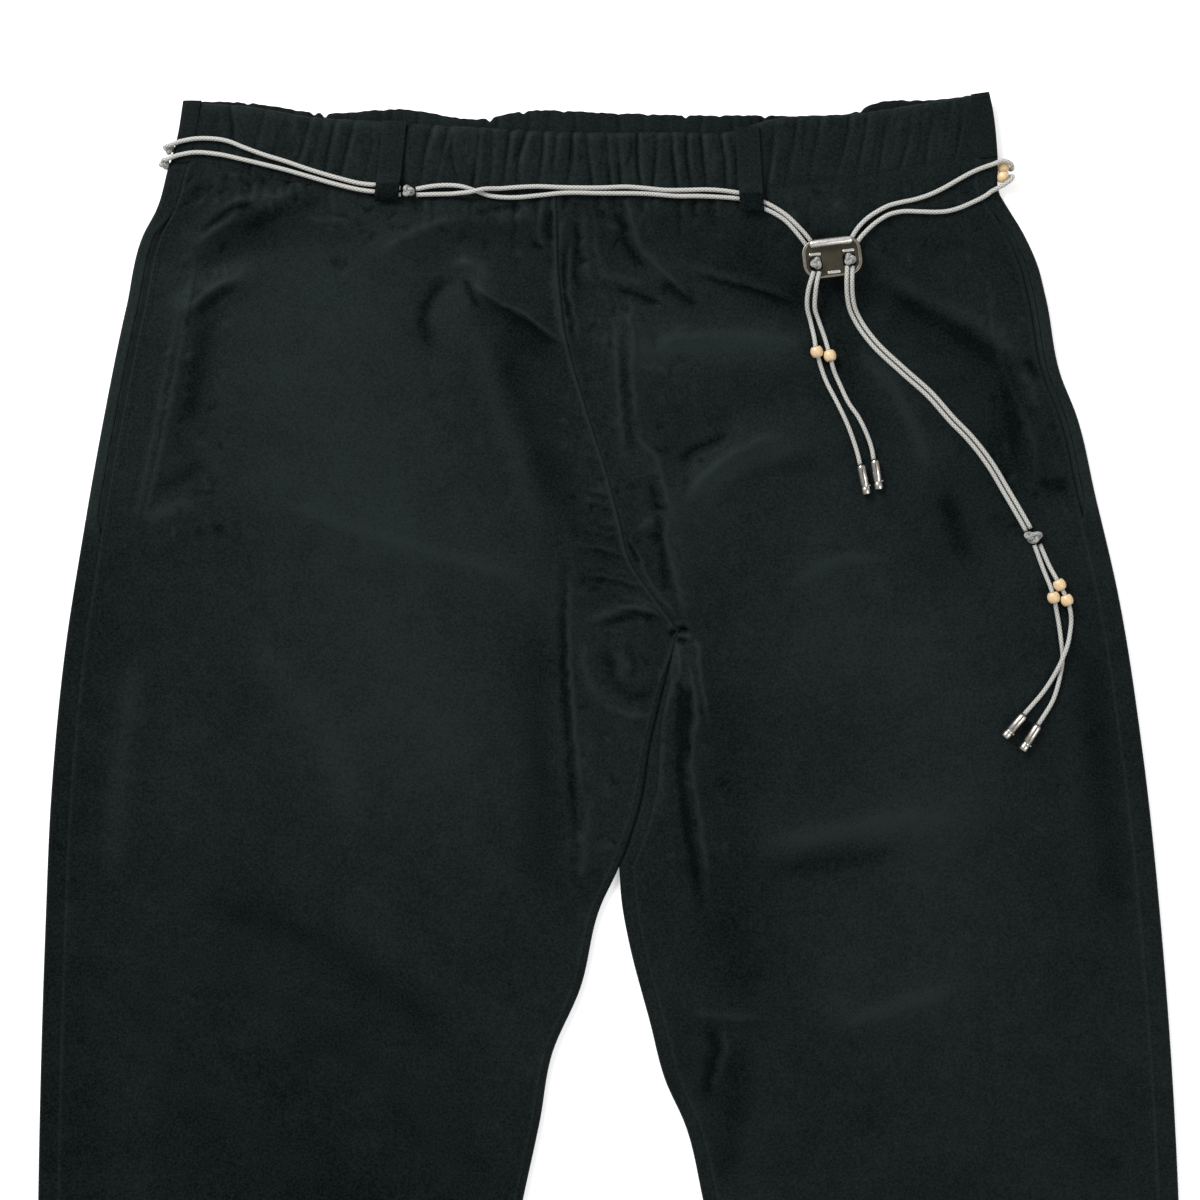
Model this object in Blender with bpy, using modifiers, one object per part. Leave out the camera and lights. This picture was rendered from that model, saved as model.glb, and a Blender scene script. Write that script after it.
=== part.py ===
"""Drawstring trousers laid flat, front up.

The garment lies on the ground plane with its waist towards +Y. Sizes are in millimetres in the tables and
become metres in `place`. A point on the cloth is given by two numbers: across, measured from the middle of
the length towards the wearer's left, and down, measured from the top of the waist towards the hem.
"""

import math

import bmesh
import bpy
import numpy as np
from mathutils import Vector
from mathutils.bvhtree import BVHTree

MM = 0.001
WAIST_Y = 494.3  # where the waist's datum line lies, so that the cloth is centred on the origin
HEM = 1000.0  # outside leg
CLOTH = 1.2  # wall of a panel
BAND_WALL = 1.5  # elastic casing
SEAM = 0.3  # gap between two pieces at a seam
LAID = 4.8  # height of the two layers, over what the back rests on
CROTCH = 257.5
LEGS_PART = 377.5  # the legs lie side by side down to here
CORD = 2.2  # drawstring diameter
CORD_SPACING = 6.0  # between a cord's points
BACK_SPACING = 14.0  # where it runs nearly straight
CORD_SLOPE = 0.45  # steepest climb of a cord over what it crosses
BELT_LIFT = 3.8  # the back of the waist lies this high, on its loops and the cord
BELT_LIFT_FROM, BELT_LIFT_TO = 46.0, 76.0
BAND_TOP = 8.4  # height of the front band in its creases
BAND_GATHER = 1.4  # how far its gathers rise above them
BAND_PLAIN = 4.0  # width without gathers at each end of the front band
SIDE_SEAM_IN = 9.5  # side seam, inside the folded edge
POCKET_LIP = 6.0  # the back panel's edge beside a pocket opening
FACING_BELOW, FACING_ABOVE = 16.0, 20.0  # from a pocket's ends to its facing's
LOOP_WIDTH, LOOP_WALL = 12.0, 1.0
BEAD_RADIUS, BEAD_HALF, BEAD_HOLE = 3.2, 2.6, 1.5
END_RADIUS, END_LENGTH = 2.2, 14.5
LOCK_WIDTH, LOCK_HEIGHT, LOCK_WALL = 30.0, 20.0, 2.6
LOCK_AT = (110.5, 72.0)
LOCK_TILT = math.radians(7)
LOCK_HOLE_OFFSET = (8.4, 2.3)
LOCK_HOLE = 5.6  # side of a hole
LOCK_UNDER = CORD + 2 * SEAM  # room for one cord between cloth and plate
LOCK_BAR_RADIUS, LOCK_BAR_OFFSET = 1.9, 7.4
KNOT_AT_LOCK = (6.5, 6.5, 4.2)

# Edges of the garment: rows of (down, across).
LEG_SIDE_RIGHT = (
    (-12, -213), (12.5, -217), (27, -221), (49, -227.5), (58.5, -233), (96, -242.5), (152.5, -254),
    (214, -264.8), (263, -272.5), (339.5, -280), (406.5, -283), (542.5, -286.6), (692.5, -287),
    (842.5, -286.5), (1000, -285),
)
LEG_SIDE_LEFT = (
    (-12, 189), (0, 191.5), (25, 194), (39, 194.5), (46, 198.5), (58.5, 206.5), (72.5, 213.5), (91, 218.5),
    (130, 226), (149, 233.5), (191, 243.5), (236, 254), (318.5, 267), (414.5, 277), (542.5, 285),
    (692.5, 287), (842.5, 286.5), (1000, 285),
)
CENTRE_SEAM = (
    (20, -28), (40, -27), (84.5, -25), (112.5, -21.5), (143, -13), (177.5, -2), (201.5, 4.5),
    (225, 11), (240.5, 21.5), (257.5, 34),
)
INSEAM_RIGHT = (
    (257.5, 34), (286, 27), (316, 20), (344, 15.5), (377.5, 4), (395.5, -4.5), (437.5, -15), (470, -29),
    (503, -35), (542.5, -43.5), (692.5, -70), (842.5, -85), (1000, -95),
)
INSEAM_LEFT = (
    (377.5, 4.6), (395, 6), (414, 9.5), (454, 20), (484, 28),
    (505, 37.5), (542.5, 46.5), (692.5, 67.5), (842.5, 84), (1000, 95),
)

# Edges of the waistband: rows of (across, down).
BAND_SEAM = (
    (-230, 23.2), (-219, 24), (-207, 25), (-180, 30.5), (-129, 37), (-30, 38.5), (72.5, 38.5), (95.5, 35.5),
    (122.5, 33), (151.5, 27), (183, 22.3), (193, 21.5), (200, 21),
)
BACK_SEAM = ((-219, 24), (-27, 38.5), (193, 21.5))  # straight between these
BAND_FRONT_EDGE = (
    (-220, -6.5), (-180, -4), (-150, 1), (-118, 3.2), (-70, 6.2), (-21, 8.7), (32, 8.7), (63, 8), (78, 3),
    (122, -0.5), (165, -7), (194, -11.5),
)
BAND_BACK_EDGE = (
    (-220, -7), (-180, -6), (-144, -1), (-105, -3), (-61, 1.5), (-50, -1), (1.5, -1), (38, 0), (76, 0),
    (122, -1.5), (130, -5), (165, -7.8), (194, -12),
)

# Creases between the gathers of the front band: rows of (across, lean to the bottom, depth as a share).
GATHERS = (
    (-196, 2, 0.7), (-189, 2, 0.8), (-176, -3, 0.9), (-165, -3, 0.5), (-155, -4, 1.0),
    (-147, -3, 0.5), (-140, -2, 0.9), (-132, -3, 0.9), (-122, -2, 0.4), (-104, 2, 0.5), (-92, -3, 0.9),
    (-85, -4, 0.9), (-77, 2, 0.4), (-67, -3, 1.0), (-60, -2, 0.5), (-52, -3, 0.9), (-44, -4, 1.0),
    (-35, -3, 0.9), (-28, -2, 0.5), (-21, -3, 0.9), (-10, 3, 0.9), (-1, 2, 0.8), (4, 2, 0.8), (15, 2, 1.0),
    (22, -2, 0.8), (32, 3, 0.9), (40, 3, 0.8), (47, 3, 0.9), (56, 2, 0.9), (61, 2, 0.4), (80, -2, 0.9),
    (90, -3, 0.9), (96, -2, 0.4), (102, -3, 0.9), (115, -4, 0.9), (125, -3, 0.9), (131, -2, 0.4),
    (137, -3, 0.8), (147, -3, 0.9), (154, -2, 0.4), (160, -3, 0.8), (167, -3, 0.5), (173, -2, 0.8),
)
BACK_GATHERS = 40  # as many on the hidden half, at uneven spacing
BACK_FROM, BACK_TO = -200.0, 176.0

# Largest folds of the front: name, height, half width, then the points (across, down) that it runs through.
FOLDS = (
    ("right hip ridge", 2.4, 8, ((-206, 66), (-185, 48), (-158, 43))),
    ("right hip trough", -1.2, 8, ((-196, 74), (-170, 62), (-140, 66))),
    ("right pocket ridge", 1.8, 8, ((-212, 98), (-201, 89), (-183, 81))),
    ("right pocket trough", -1.3, 10, ((-196, 99), (-201, 124), (-213, 166))),
    ("right waist curve", 1.7, 8, ((-115, 70), (-96, 59), (-76, 53), (-40, 48))),
    ("right hollow", -1.6, 12, ((-82, 84), (-93, 99), (-89, 121))),
    ("right peak", 2.2, 9, ((-70, 76), (-62, 88))),
    ("right diagonal", 1.8, 8, ((-62, 88), (-46, 96), (-24, 114))),
    ("right thigh shade", 1.5, 22, ((-66, 99), (-60, 132), (-46, 166), (-33, 216))),
    ("right inner crease", 1.5, 9, ((-18, 221), (-21, 258), (-18, 298), (-14, 344), (-14, 372))),
    ("right slant fold", 1.2, 16, ((-173, 190), (-133, 207), (-40, 235))),
    ("right shin fold", -1.0, 30, ((-200, 455), (-120, 520), (-70, 640))),
    ("right low fold", 1.2, 28, ((-230, 700), (-150, 760), (-120, 880))),
    ("crotch ridge", 2.4, 8, ((11, 104), (12, 138), (16, 160), (30, 192), (34, 216), (38, 242))),
    ("left waist ridge", 2.0, 8, ((11, 50), (18, 67), (28, 82), (41, 95))),
    ("left waist trough", -1.6, 8, ((43, 78), (70, 86), (95, 95))),
    ("left hip ridge", 1.6, 11, ((22, 120), (86, 121))),
    ("left arch", 2.0, 11, ((37, 196), (65, 167), (119, 156))),
    ("left arch hollow", -1.3, 11, ((39, 166), (62, 150))),
    ("left crotch fold", 1.8, 8, ((40, 274), (44, 298), (41, 323), (46, 351), (48, 374))),
    ("pouch curve", 1.6, 8, ((2, 296), (16, 300), (20, 289))),
    ("left pocket trough", -1.5, 13, ((135, 90), (160, 104), (185, 123), (198, 143), (203, 181))),
    ("left hip slope", 1.4, 12, ((136, 129), (151, 156), (157, 181))),
    ("left thigh band", -1.2, 12, ((168, 189), (178, 222))),
    ("left knee ridge", 1.7, 15, ((71, 366), (120, 358), (175, 350))),
    ("left knee fold", 1.4, 13, ((120, 452), (172, 438))),
    ("left inner hollow", -1.5, 10, ((40, 453), (54, 460), (50, 494))),
    ("left inner ridge", 1.8, 9, ((44, 446), (76, 447))),
    ("left shin fold", 1.2, 28, ((120, 620), (190, 580), (250, 590))),
    ("left low fold", -1.0, 30, ((110, 760), (160, 840), (170, 940))),
)

# Routes of the cord: rows of (across, down), with a third number where it isn't on the cloth, its height.
BACK_UPPER = (
    (-222, 17, 2.4), (-150, 19.5, 2.4), (-60, 18, 2.4), (40, 22, 2.4), (120, 20.5, 2.4), (192.7, 25, 2.4),
)
BACK_LOWER = (
    (-224, 24.5, 2.4), (-140, 28, 2.4), (-50, 25, 2.4), (60, 29, 2.4), (130, 28, 2.4), (192.7, 32, 2.4),
)
RIGHT_UPPER = (
    (-221.2, 16.4, 10.6), (-217, 14.4), (-207, 12.5), (-198.5, 12.5), (-191, 13.7), (-182.5, 17),
    (-172, 20.8), (-161.5, 24), (-151, 27.6), (-137, 31.8), (-125, 34.8), (-111, 36.2), (-104.4, 37.2),
)
RIGHT_LOWER = (
    (-222.6, 23.4, 10.6), (-218, 21.2), (-207, 19.3), (-195.5, 20.3), (-183, 23), (-172, 25.6),
    (-161.5, 28.2), (-151, 31.2), (-137, 35.2), (-125, 38), (-111, 39.6), (-104.4, 40.2),
)
FRONT_UPPER = (
    (-96.6, 40.5), (-88, 40.2), (-78, 40), (-69.5, 39.4), (-63, 38), (-54, 37.4), (-46, 36.8), (-35.5, 36.4),
    (-25, 36.8), (-4, 37), (8, 36.6), (17, 37.2), (27.5, 38.2), (38, 38.2), (48.5, 38), (59, 38.8), (66, 40),
    (76.8, 44), (82, 46.7), (88, 50.7), (93.5, 55.8), (97.5, 60), (100.5, 64), (102.8, 69.5), (103.7, 74.3),
)
FRONT_LOWER = (
    (-96.6, 37.6), (-88, 36.2), (-81, 35.8), (-74, 36.4), (-67, 38.6), (-60, 41), (-53, 41.8), (-46, 41.8),
    (-35.5, 40.8), (-25, 39.7), (-4, 39.8), (17, 40), (34.5, 41.2), (45, 41.2), (55.5, 41.6), (66, 42.8),
    (76, 46.9), (82, 49.8), (87, 53), (92, 58), (95.5, 62.3), (98.5, 66.5), (100.3, 70.8), (101, 74.8),
)
LEFT_UPPER = (
    (193, 25, 2.4), (196.6, 25, 2.5), (198, 25, 3.6), (198, 25, 9.4), (196.4, 24.8, 10.9), (192, 24.9),
    (187, 26.5), (180.5, 29.2), (173.5, 33), (166.5, 37), (159.5, 40.3), (152.5, 42.6), (145, 44.2),
    (139, 45.8), (134, 48.3), (127.8, 52.5), (123.5, 57), (120.7, 61.5), (118.6, 67), (117.9, 72.5),
)
LEFT_LOWER = (
    (193, 32, 2.4), (196.6, 32, 2.5), (198, 32, 3.6), (198, 32, 9.4), (196.4, 33, 10.9), (192, 37.2),
    (188, 40.4), (180.5, 44.3), (173.5, 47.2), (168, 48.6), (162.5, 49), (155, 48.8), (145, 48.8),
    (139, 50.3), (134, 53.2), (128.3, 58), (124, 63), (121.4, 68), (120.6, 73),
)
TAIL_LOWER = (
    (101.2, 79.3), (100, 83), (98.5, 89), (98.5, 97.5), (100, 102.5), (102, 111.5), (103, 118.5),
    (104.3, 122.5), (108, 133), (113, 143), (118, 153.5), (121.5, 162.5), (124, 170.5), (125, 175),
)
TAIL_UPPER = (
    (104, 79.3), (102.9, 84), (102.2, 90), (102.3, 97.5), (104.3, 103), (107.5, 112), (109.8, 120.7),
    (111.5, 126.8), (115, 135), (119.5, 144.5), (124, 151), (127.7, 158.3), (130.7, 166.5), (131.8, 172.5),
)
LONG_TAIL = (
    (119.2, 76.5), (119, 84), (119.3, 89), (121, 97), (124, 103), (131, 113), (146.5, 128),
    (159.5, 139.5), (172, 153.5), (178.5, 160), (190, 174.5), (199, 189.5), (209.2, 207.2),
)
LONG_TAIL_APART = 1.35  # half the distance between its two strands
LONG_END_INNER = (
    (212.2, 215), (216, 225.5), (220, 236), (221.5, 241.3), (223.3, 248.5), (225.5, 262.5), (226.3, 270),
    (225, 280.3), (221.8, 291.8), (214, 304.8),
)
LONG_END_OUTER = (
    (214.9, 214.6), (220.6, 227.5), (224.5, 235), (228.2, 242.5), (230.5, 252), (229.5, 261), (225.5, 272.5),
    (218, 286.5), (207, 299.6),
)
# Beads on the free ends, and on the bends round the side: cord, then (across, down).
BEADS = (
    ("cord_tail_lower", (103, 118.5)),
    ("cord_tail_upper", (109.8, 120.7)),
    ("cord_end_inner", (221.5, 241.3)),
    ("cord_end_outer", (224.5, 235)),
    ("cord_end_outer", (228.2, 242.5)),
)
SIDE_BEADS = ((198, 25, 6.5), (198, 32, 6.5))
# Knots: name, centre (across, down), size, turn in degrees and height, or None where it lies on the cloth.
KNOTS = (
    ("knot_side_upper", (-221.3, 17), (5.2, 5.2, 5.2), 0, 6.5),
    ("knot_side_lower", (-223.5, 24.5), (5.2, 5.2, 5.2), 0, 6.5),
    ("knot_front", (-100.5, 38.9), (7.0, 6.2, 5.0), 0, None),
    ("knot_long", (211.4, 211), (10.0, 6.4, 5.0), 20, None),
)

# Colours: base colour, roughness, metallic.
FINISHES = {
    "cloth": ((0.012, 0.017, 0.017), 0.55, 0.0),
    "cord": ((0.42, 0.41, 0.36), 0.8, 0.0),
    "wood": ((0.66, 0.48, 0.27), 0.5, 0.0),
    "gunmetal": ((0.11, 0.1, 0.085), 0.35, 1.0),
    "silver": ((0.55, 0.54, 0.5), 0.3, 1.0),
}


def through(rows):
    """A smooth function through a table's rows of (at, value)."""
    at, value = (np.array(column, float) for column in zip(*rows))
    slope = np.gradient(value, at)

    def read(x):
        x = np.clip(x, at[0], at[-1])
        i = np.clip(np.searchsorted(at, x, side="right") - 1, 0, len(at) - 2)
        step = at[i + 1] - at[i]
        t = (x - at[i]) / step
        level = value[i] * (1 + 2 * t) * (1 - t) ** 2 + value[i + 1] * t * t * (3 - 2 * t)
        return level + step * (slope[i] * t * (1 - t) ** 2 - slope[i + 1] * t * t * (1 - t))

    return read


def ease(t):
    """0 below 0, 1 above 1 and a smooth step between."""
    t = min(max(t, 0.0), 1.0)
    return t * t * (3 - 2 * t)


SIDE = {-1: through(LEG_SIDE_RIGHT), 1: through(LEG_SIDE_LEFT)}
INNER = {-1: through(INSEAM_RIGHT), 1: through(INSEAM_LEFT)}
INSEAM_IN = {-1: 3.0, 1: 6.5}  # front inseam, inside the leg's inner edge
POCKET = {-1: (48.0, 212.0), 1: (48.0, 203.0)}  # from and to
centre_seam = through(CENTRE_SEAM)
band_seam = through(BAND_SEAM)
front_edge = through(BAND_FRONT_EDGE)
back_edge = through(BAND_BACK_EDGE)


def back_seam(across):
    """The band's seam on the back, which runs straight from the centre to each side."""
    (x0, d0), (x1, d1), (x2, d2) = BACK_SEAM
    if across < x1:
        return d1 + (d0 - d1) * (x1 - across) / (x1 - x0)
    return d1 + (d2 - d1) * (across - x1) / (x2 - x1)


def belt_lift(down):
    """Height of the back's underside: up near the waist, where the cord passes beneath it."""
    return BELT_LIFT * ease((BELT_LIFT_TO - down) / (BELT_LIFT_TO - BELT_LIFT_FROM))


def distance_to(path, across, down):
    """Shortest distance from a point to a line of points."""
    best = math.inf
    for (x0, d0), (x1, d1) in zip(path, path[1:]):
        length = (x1 - x0) ** 2 + (d1 - d0) ** 2
        t = min(max(((across - x0) * (x1 - x0) + (down - d0) * (d1 - d0)) / length, 0), 1)
        best = min(best, math.hypot(across - x0 - t * (x1 - x0), down - d0 - t * (d1 - d0)))
    return best


def folds_at(across, down):
    return sum(
        height * math.exp(-((distance_to(path, across, down) / half) ** 2))
        for name, height, half, path in FOLDS
    )


def inner_edge(side, down):
    """The centre seam above the crotch, and the leg's inner edge below it."""
    if down <= CROTCH:
        return float(centre_seam(down))
    if down < LEGS_PART:
        return float(INNER[-1](down)) + (2 * SEAM if side > 0 else 0)
    return float(INNER[side](down))


def wrap_of(down):
    """Angle that the back has turned round the leg's inner edge, from 0 at the crotch to half a turn."""
    return math.pi * ease((down - CROTCH) / 35)


def inseam_run(side, down):
    """How far the back panel runs on over the leg's top, from its inner edge's roll to the inseam."""
    return max(INSEAM_IN[side] - LAID / 2, 0) * ease((down - CROTCH - 35) / 45)


def front_inner(side, down):
    """Distance of the front panel's edge from the centre seam or the leg's inner edge."""
    rolled = (LAID / 2 + SEAM) * ease((wrap_of(down) - math.pi / 2) / (math.pi / 3))
    return max(SEAM / 2, rolled + inseam_run(side, down))


def side_seam(side, down):
    """Distance of the back panel's edge from the folded side: less beside a pocket."""
    top, bottom = POCKET[side]
    inside = ease((down - top) / 12) * ease((bottom - down) / 12)
    return SIDE_SEAM_IN - SEAM - (SIDE_SEAM_IN - SEAM - POCKET_LIP) * inside


def front_top(side, across, down):
    """Height of the front panel's upper face."""
    from_side = abs(float(SIDE[side](down)) - across) - SIDE_SEAM_IN
    from_inner = abs(across - inner_edge(side, down)) - front_inner(side, down)
    shown = ease(from_side / 14)
    if down > CROTCH:
        shown *= 1 - (1 - ease(from_inner / 8)) * ease((down - CROTCH) / 25)
    shown *= ease((down - 30) / 25)
    return belt_lift(down) + LAID + max(folds_at(across, down), -1.7) * shown


def stations():
    """Distances down the leg at which the panels have a row: close at the hips, wide apart below the knee."""
    upper = [76 + 15.5 * i for i in range(12)]
    crotch = [CROTCH, 268, 280, 292.5]
    lower = [308, 328, 350, 374, 400, 430, 465, 504, 552, 640, 740, 860, HEM]
    return upper + crotch + lower


FRONT_COLUMNS = 15
ROWS_IN_BEND = 4  # rows near the waist, which follow the band's seam


def rows_down():
    """(row from the top, nominal distance down) of each row of a panel."""
    lower = stations()
    bend = [(i, 38 + (lower[0] - 38) * i / ROWS_IN_BEND) for i in range(ROWS_IN_BEND)]
    return bend + [(ROWS_IN_BEND + i, down) for i, down in enumerate(lower)]


def down_at(row, nominal, across, seam):
    """How far down a row lies at a place across: near the waist it follows the band's seam."""
    if row >= ROWS_IN_BEND:
        return nominal
    top = float(seam(across)) + SEAM / 2
    return top + (stations()[0] - top) * row / ROWS_IN_BEND


def down_on_edge(row, nominal, edge):
    """How far down a row of the back meets an edge, which is given as a function of the distance down."""
    down = nominal
    for _ in range(4):
        down = down_at(row, nominal, float(edge(down)), back_seam)
    return down


def place(across, down, height):
    return Vector((across, WAIST_Y - down, height)) * MM


def material(name):
    found = bpy.data.materials.get(name)
    if found:
        return found
    colour, roughness, metallic = FINISHES[name]
    made = bpy.data.materials.new(name)
    made.use_nodes = True
    shader = made.node_tree.nodes["Principled BSDF"]
    shader.inputs["Base Color"].default_value = (*colour, 1)
    shader.inputs["Roughness"].default_value = roughness
    shader.inputs["Metallic"].default_value = metallic
    made.diffuse_color = (*colour, 1)
    return made


def add(name, data, finish, collection):
    data.materials.append(material(finish))
    made = bpy.data.objects.new(name, data)
    collection.objects.link(made)
    made.parent = bpy.data.objects["trousers"]
    return made


def wall(name, outer, inner, finish, collection):
    """A closed wall between two lofted faces, each given as rows of points."""
    rows, columns = len(outer), len(outer[0])
    mesh = bmesh.new()
    grids = [[[mesh.verts.new(place(*point)) for point in row] for row in grid] for grid in (outer, inner)]
    top, bottom = grids
    for i in range(rows - 1):
        for j in range(columns - 1):
            mesh.faces.new((top[i][j], top[i + 1][j], top[i + 1][j + 1], top[i][j + 1]))
            mesh.faces.new((bottom[i][j], bottom[i][j + 1], bottom[i + 1][j + 1], bottom[i + 1][j]))
    for j in range(columns - 1):
        mesh.faces.new((top[0][j], top[0][j + 1], bottom[0][j + 1], bottom[0][j]))
        mesh.faces.new((top[-1][j + 1], top[-1][j], bottom[-1][j], bottom[-1][j + 1]))
    for i in range(rows - 1):
        mesh.faces.new((top[i + 1][0], top[i][0], bottom[i][0], bottom[i + 1][0]))
        mesh.faces.new((top[i][-1], top[i + 1][-1], bottom[i + 1][-1], bottom[i][-1]))
    bmesh.ops.recalc_face_normals(mesh, faces=mesh.faces)
    data = bpy.data.meshes.new(name)
    mesh.to_mesh(data)
    mesh.free()
    data.shade_smooth()
    data.set_sharp_from_angle(angle=math.radians(50))
    return add(name, data, finish, collection)


def front_panel(side, collection):
    columns = FRONT_COLUMNS
    outer = []
    for row, nominal in rows_down():
        line = []
        for j in range(columns + 1):
            share = j / columns
            down = nominal
            for _ in range(2):
                start = inner_edge(side, down) + side * front_inner(side, down)
                end = float(SIDE[side](down)) - side * SIDE_SEAM_IN
                across = start + (end - start) * share
                down = down_at(row, nominal, across, band_seam)
            line.append((across, down, front_top(side, across, down)))
        outer.append(line)
    inner = [[(x, d, z - CLOTH) for x, d, z in line] for line in outer]
    name = "front_right" if side < 0 else "front_left"
    return wall(name, outer, inner, "cloth", collection)


def roll(distance, radius, angle, run, inset):
    """Position on a wall that ends with a run on top, then a roll, then lies flat.

    distance is measured from the wall's end along its outside, and inset is how far the point is inside the
    wall. It gives the distance from the folded edge, inwards, and the height.
    """
    if distance < run:
        return radius + run - distance, 2 * radius - inset
    distance -= run
    if distance < angle * radius:
        left = angle - distance / radius
        return radius - (radius - inset) * math.sin(left), radius - (radius - inset) * math.cos(left)
    return radius + distance - angle * radius, inset


def back_panel(side, collection):
    radius = LAID / 2
    inner_zone = math.pi * radius + max(INSEAM_IN[side] - radius, 0)
    grids = ([], [])
    for row, nominal in rows_down():
        for grid, inset in zip(grids, (0.0, CLOTH)):
            line = []
            down = down_on_edge(row, nominal, lambda down: inner_edge(side, down))
            edge = inner_edge(side, down)
            turn, run = wrap_of(down), inseam_run(side, down)
            for k in range(6):
                inward, height = roll(k * inner_zone / 5, radius, turn, run, inset)
                gap = SEAM / 2 if turn < math.pi / 2 else 0.0
                if turn == 0:
                    inward = gap + k * inner_zone / 5
                across = edge + side * inward
                line.append((across, down_at(row, nominal, across, back_seam), height))
            down = down_on_edge(row, nominal, SIDE[side])
            folded = float(SIDE[side](down))
            zone = []
            run = side_seam(side, down) - radius
            for k in range(6):
                distance = 0.0 if k == 0 else run + (k - 1) * math.pi * radius / 4
                inward, height = roll(distance, radius, math.pi, run, inset)
                across = folded - side * inward
                zone.append((across, down_at(row, nominal, across, back_seam), height))
            flat_from, flat_to = line[-1][0], zone[-1][0]
            for k in (1, 2):
                across = flat_from + (flat_to - flat_from) * k / 3
                line.append((across, down_at(row, nominal, across, back_seam), inset))
            line += reversed(zone)
            grid.append([(x, d, z + belt_lift(d)) for x, d, z in line])
    name = "back_right" if side < 0 else "back_left"
    return wall(name, grids[0], grids[1], "cloth", collection)


def pocket_facing(side, collection):
    """The strip between the front's pocket edge and the back, which dips under the front."""
    top, bottom = POCKET[side]
    rows = 12
    profile = (
        (POCKET_LIP + SEAM, LAID - 0.4), (POCKET_LIP + 2, LAID - 1.6),
        (12.0, LAID - 1.8), (16.0, LAID - 1.95),
    )
    outer = []
    for i in range(rows + 1):
        down = top + FACING_BELOW + (bottom - top - FACING_BELOW - FACING_ABOVE) * i / rows
        folded = float(SIDE[side](down))
        lift = belt_lift(down)
        outer.append([(folded - side * inward, down, lift + height) for inward, height in profile])
    inner = [[(x, d, z - 1.0) for x, d, z in line] for line in outer]
    name = "pocket_facing_right" if side < 0 else "pocket_facing_left"
    return wall(name, outer, inner, "cloth", collection)


def gather_columns():
    """(across, lean, height) of each column of the front band: a crease, then the gather beside it."""
    columns = []
    for here, after in zip(GATHERS, GATHERS[1:]):
        columns.append((here[0], here[1], 1 - here[2]))
        width = after[0] - here[0]
        columns.append((here[0] + width / 2, (here[1] + after[1]) / 2, min(1.0, 0.5 + width / 18)))
    last = GATHERS[-1]
    return columns + [(last[0], last[1], 1 - last[2])]


def band_side(side, share):
    """The folded side of the waist, this share of the way down the band."""
    return float(SIDE[side](-9 + 32 * share))


def waistband_front(collection):
    levels = ((0.0, -0.7), (0.12, 0.0), (0.55, 0.0), (1.0, -0.2))  # share of the band's depth, height over it
    outer = []
    for share, rise in levels:
        ends = {}
        for side in (-1, 1):
            seam = band_side(side, share) - side * SIDE_SEAM_IN
            ends[side] = [(seam, BAND_TOP), (seam - side * BAND_PLAIN, BAND_TOP + BAND_GATHER * 0.3)]
        middle = []
        for across, lean, gather in gather_columns():
            middle.append((across + lean * (share - 0.5), BAND_TOP + BAND_GATHER * gather))
        points = ends[-1] + middle + ends[1][::-1]
        row = []
        for across, height in points:
            top, seam = float(front_edge(across)), float(band_seam(across)) - SEAM / 2
            row.append((across, top + (seam - top) * share, height + rise))
        outer.append(row)
    inner = [[(x, d, z - BAND_WALL) for x, d, z in line] for line in outer]
    return wall("waistband_front", outer, inner, "cloth", collection)


def back_mark(number):
    """Place across of a crease of the back band: even spacing, with a small uneven shift."""
    shift = 0.35 * math.sin(2 * math.pi * 0.618 * number)
    return BACK_FROM + (BACK_TO - BACK_FROM) * (number + shift) / BACK_GATHERS


def waistband_back(collection):
    radius = (BAND_TOP + 0.3 - BELT_LIFT) / 2
    run = SIDE_SEAM_IN - SEAM - radius
    marks = [back_mark(k) for k in range(BACK_GATHERS + 1)]
    grids = ([], [])
    for share in (0.0, 0.5, 1.0):
        for grid, inset in zip(grids, (0.0, BAND_WALL)):
            row = []
            for side in (-1, 1):
                zone = []
                folded = band_side(side, share)
                for k in range(6):
                    distance = 0.0 if k == 0 else run + (k - 1) * math.pi * radius / 4
                    inward, height = roll(distance, radius, math.pi, run, inset)
                    zone.append((folded - side * inward, height))
                row.append(zone if side < 0 else zone[::-1])
            middle = []
            for k, across in enumerate(marks):
                middle.append((across, inset + 0.1))
                if k < BACK_GATHERS:
                    middle.append((across / 2 + marks[k + 1] / 2, inset + 0.45 + 0.15 * math.sin(5.0 * k)))
            line = []
            for across, height in row[0] + middle + row[1]:
                top, seam = float(back_edge(across)), back_seam(across) - SEAM / 2
                line.append((across, top + (seam - top) * share, height + BELT_LIFT))
            grid.append(line)
    return wall("waistband_back", grids[0], grids[1], "cloth", collection)


def tree_of(objects):
    """Something that a ray can hit, made of several objects' faces."""
    points, faces = [], []
    for item in objects:
        first = len(points)
        points += [vertex.co for vertex in item.data.vertices]
        faces += [[first + v for v in polygon.vertices] for polygon in item.data.polygons]
    return BVHTree.FromPolygons(points, faces)


def cloth_height(tree, across, down, reach=CORD / 2 + 0.2):
    """The highest cloth within reach of a point, in millimetres."""
    turns = np.linspace(0, 2 * math.pi, 9)[:-1]
    spots = [(0.0, 0.0)] + [(reach * math.cos(a), reach * math.sin(a)) for a in turns]
    hits = [tree.ray_cast(place(across + x, down + d, 60), Vector((0, 0, -1))) for x, d in spots]
    return max((hit[0].z / MM for hit in hits if hit[0]), default=0.0)


def spaced(route, spacing):
    """Points at an even spacing on the smooth curve through a route's own points."""
    steps = [math.dist(a[:2], b[:2]) for a, b in zip(route, route[1:])]
    along = np.concatenate([[0], np.cumsum(steps)])
    across = through(list(zip(along, [point[0] for point in route])))
    down = through(list(zip(along, [point[1] for point in route])))
    count = max(int(math.ceil(along[-1] / spacing)), 2)
    return [(float(across(s)), float(down(s)), s) for s in np.linspace(0, along[-1], count + 1)]


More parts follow.
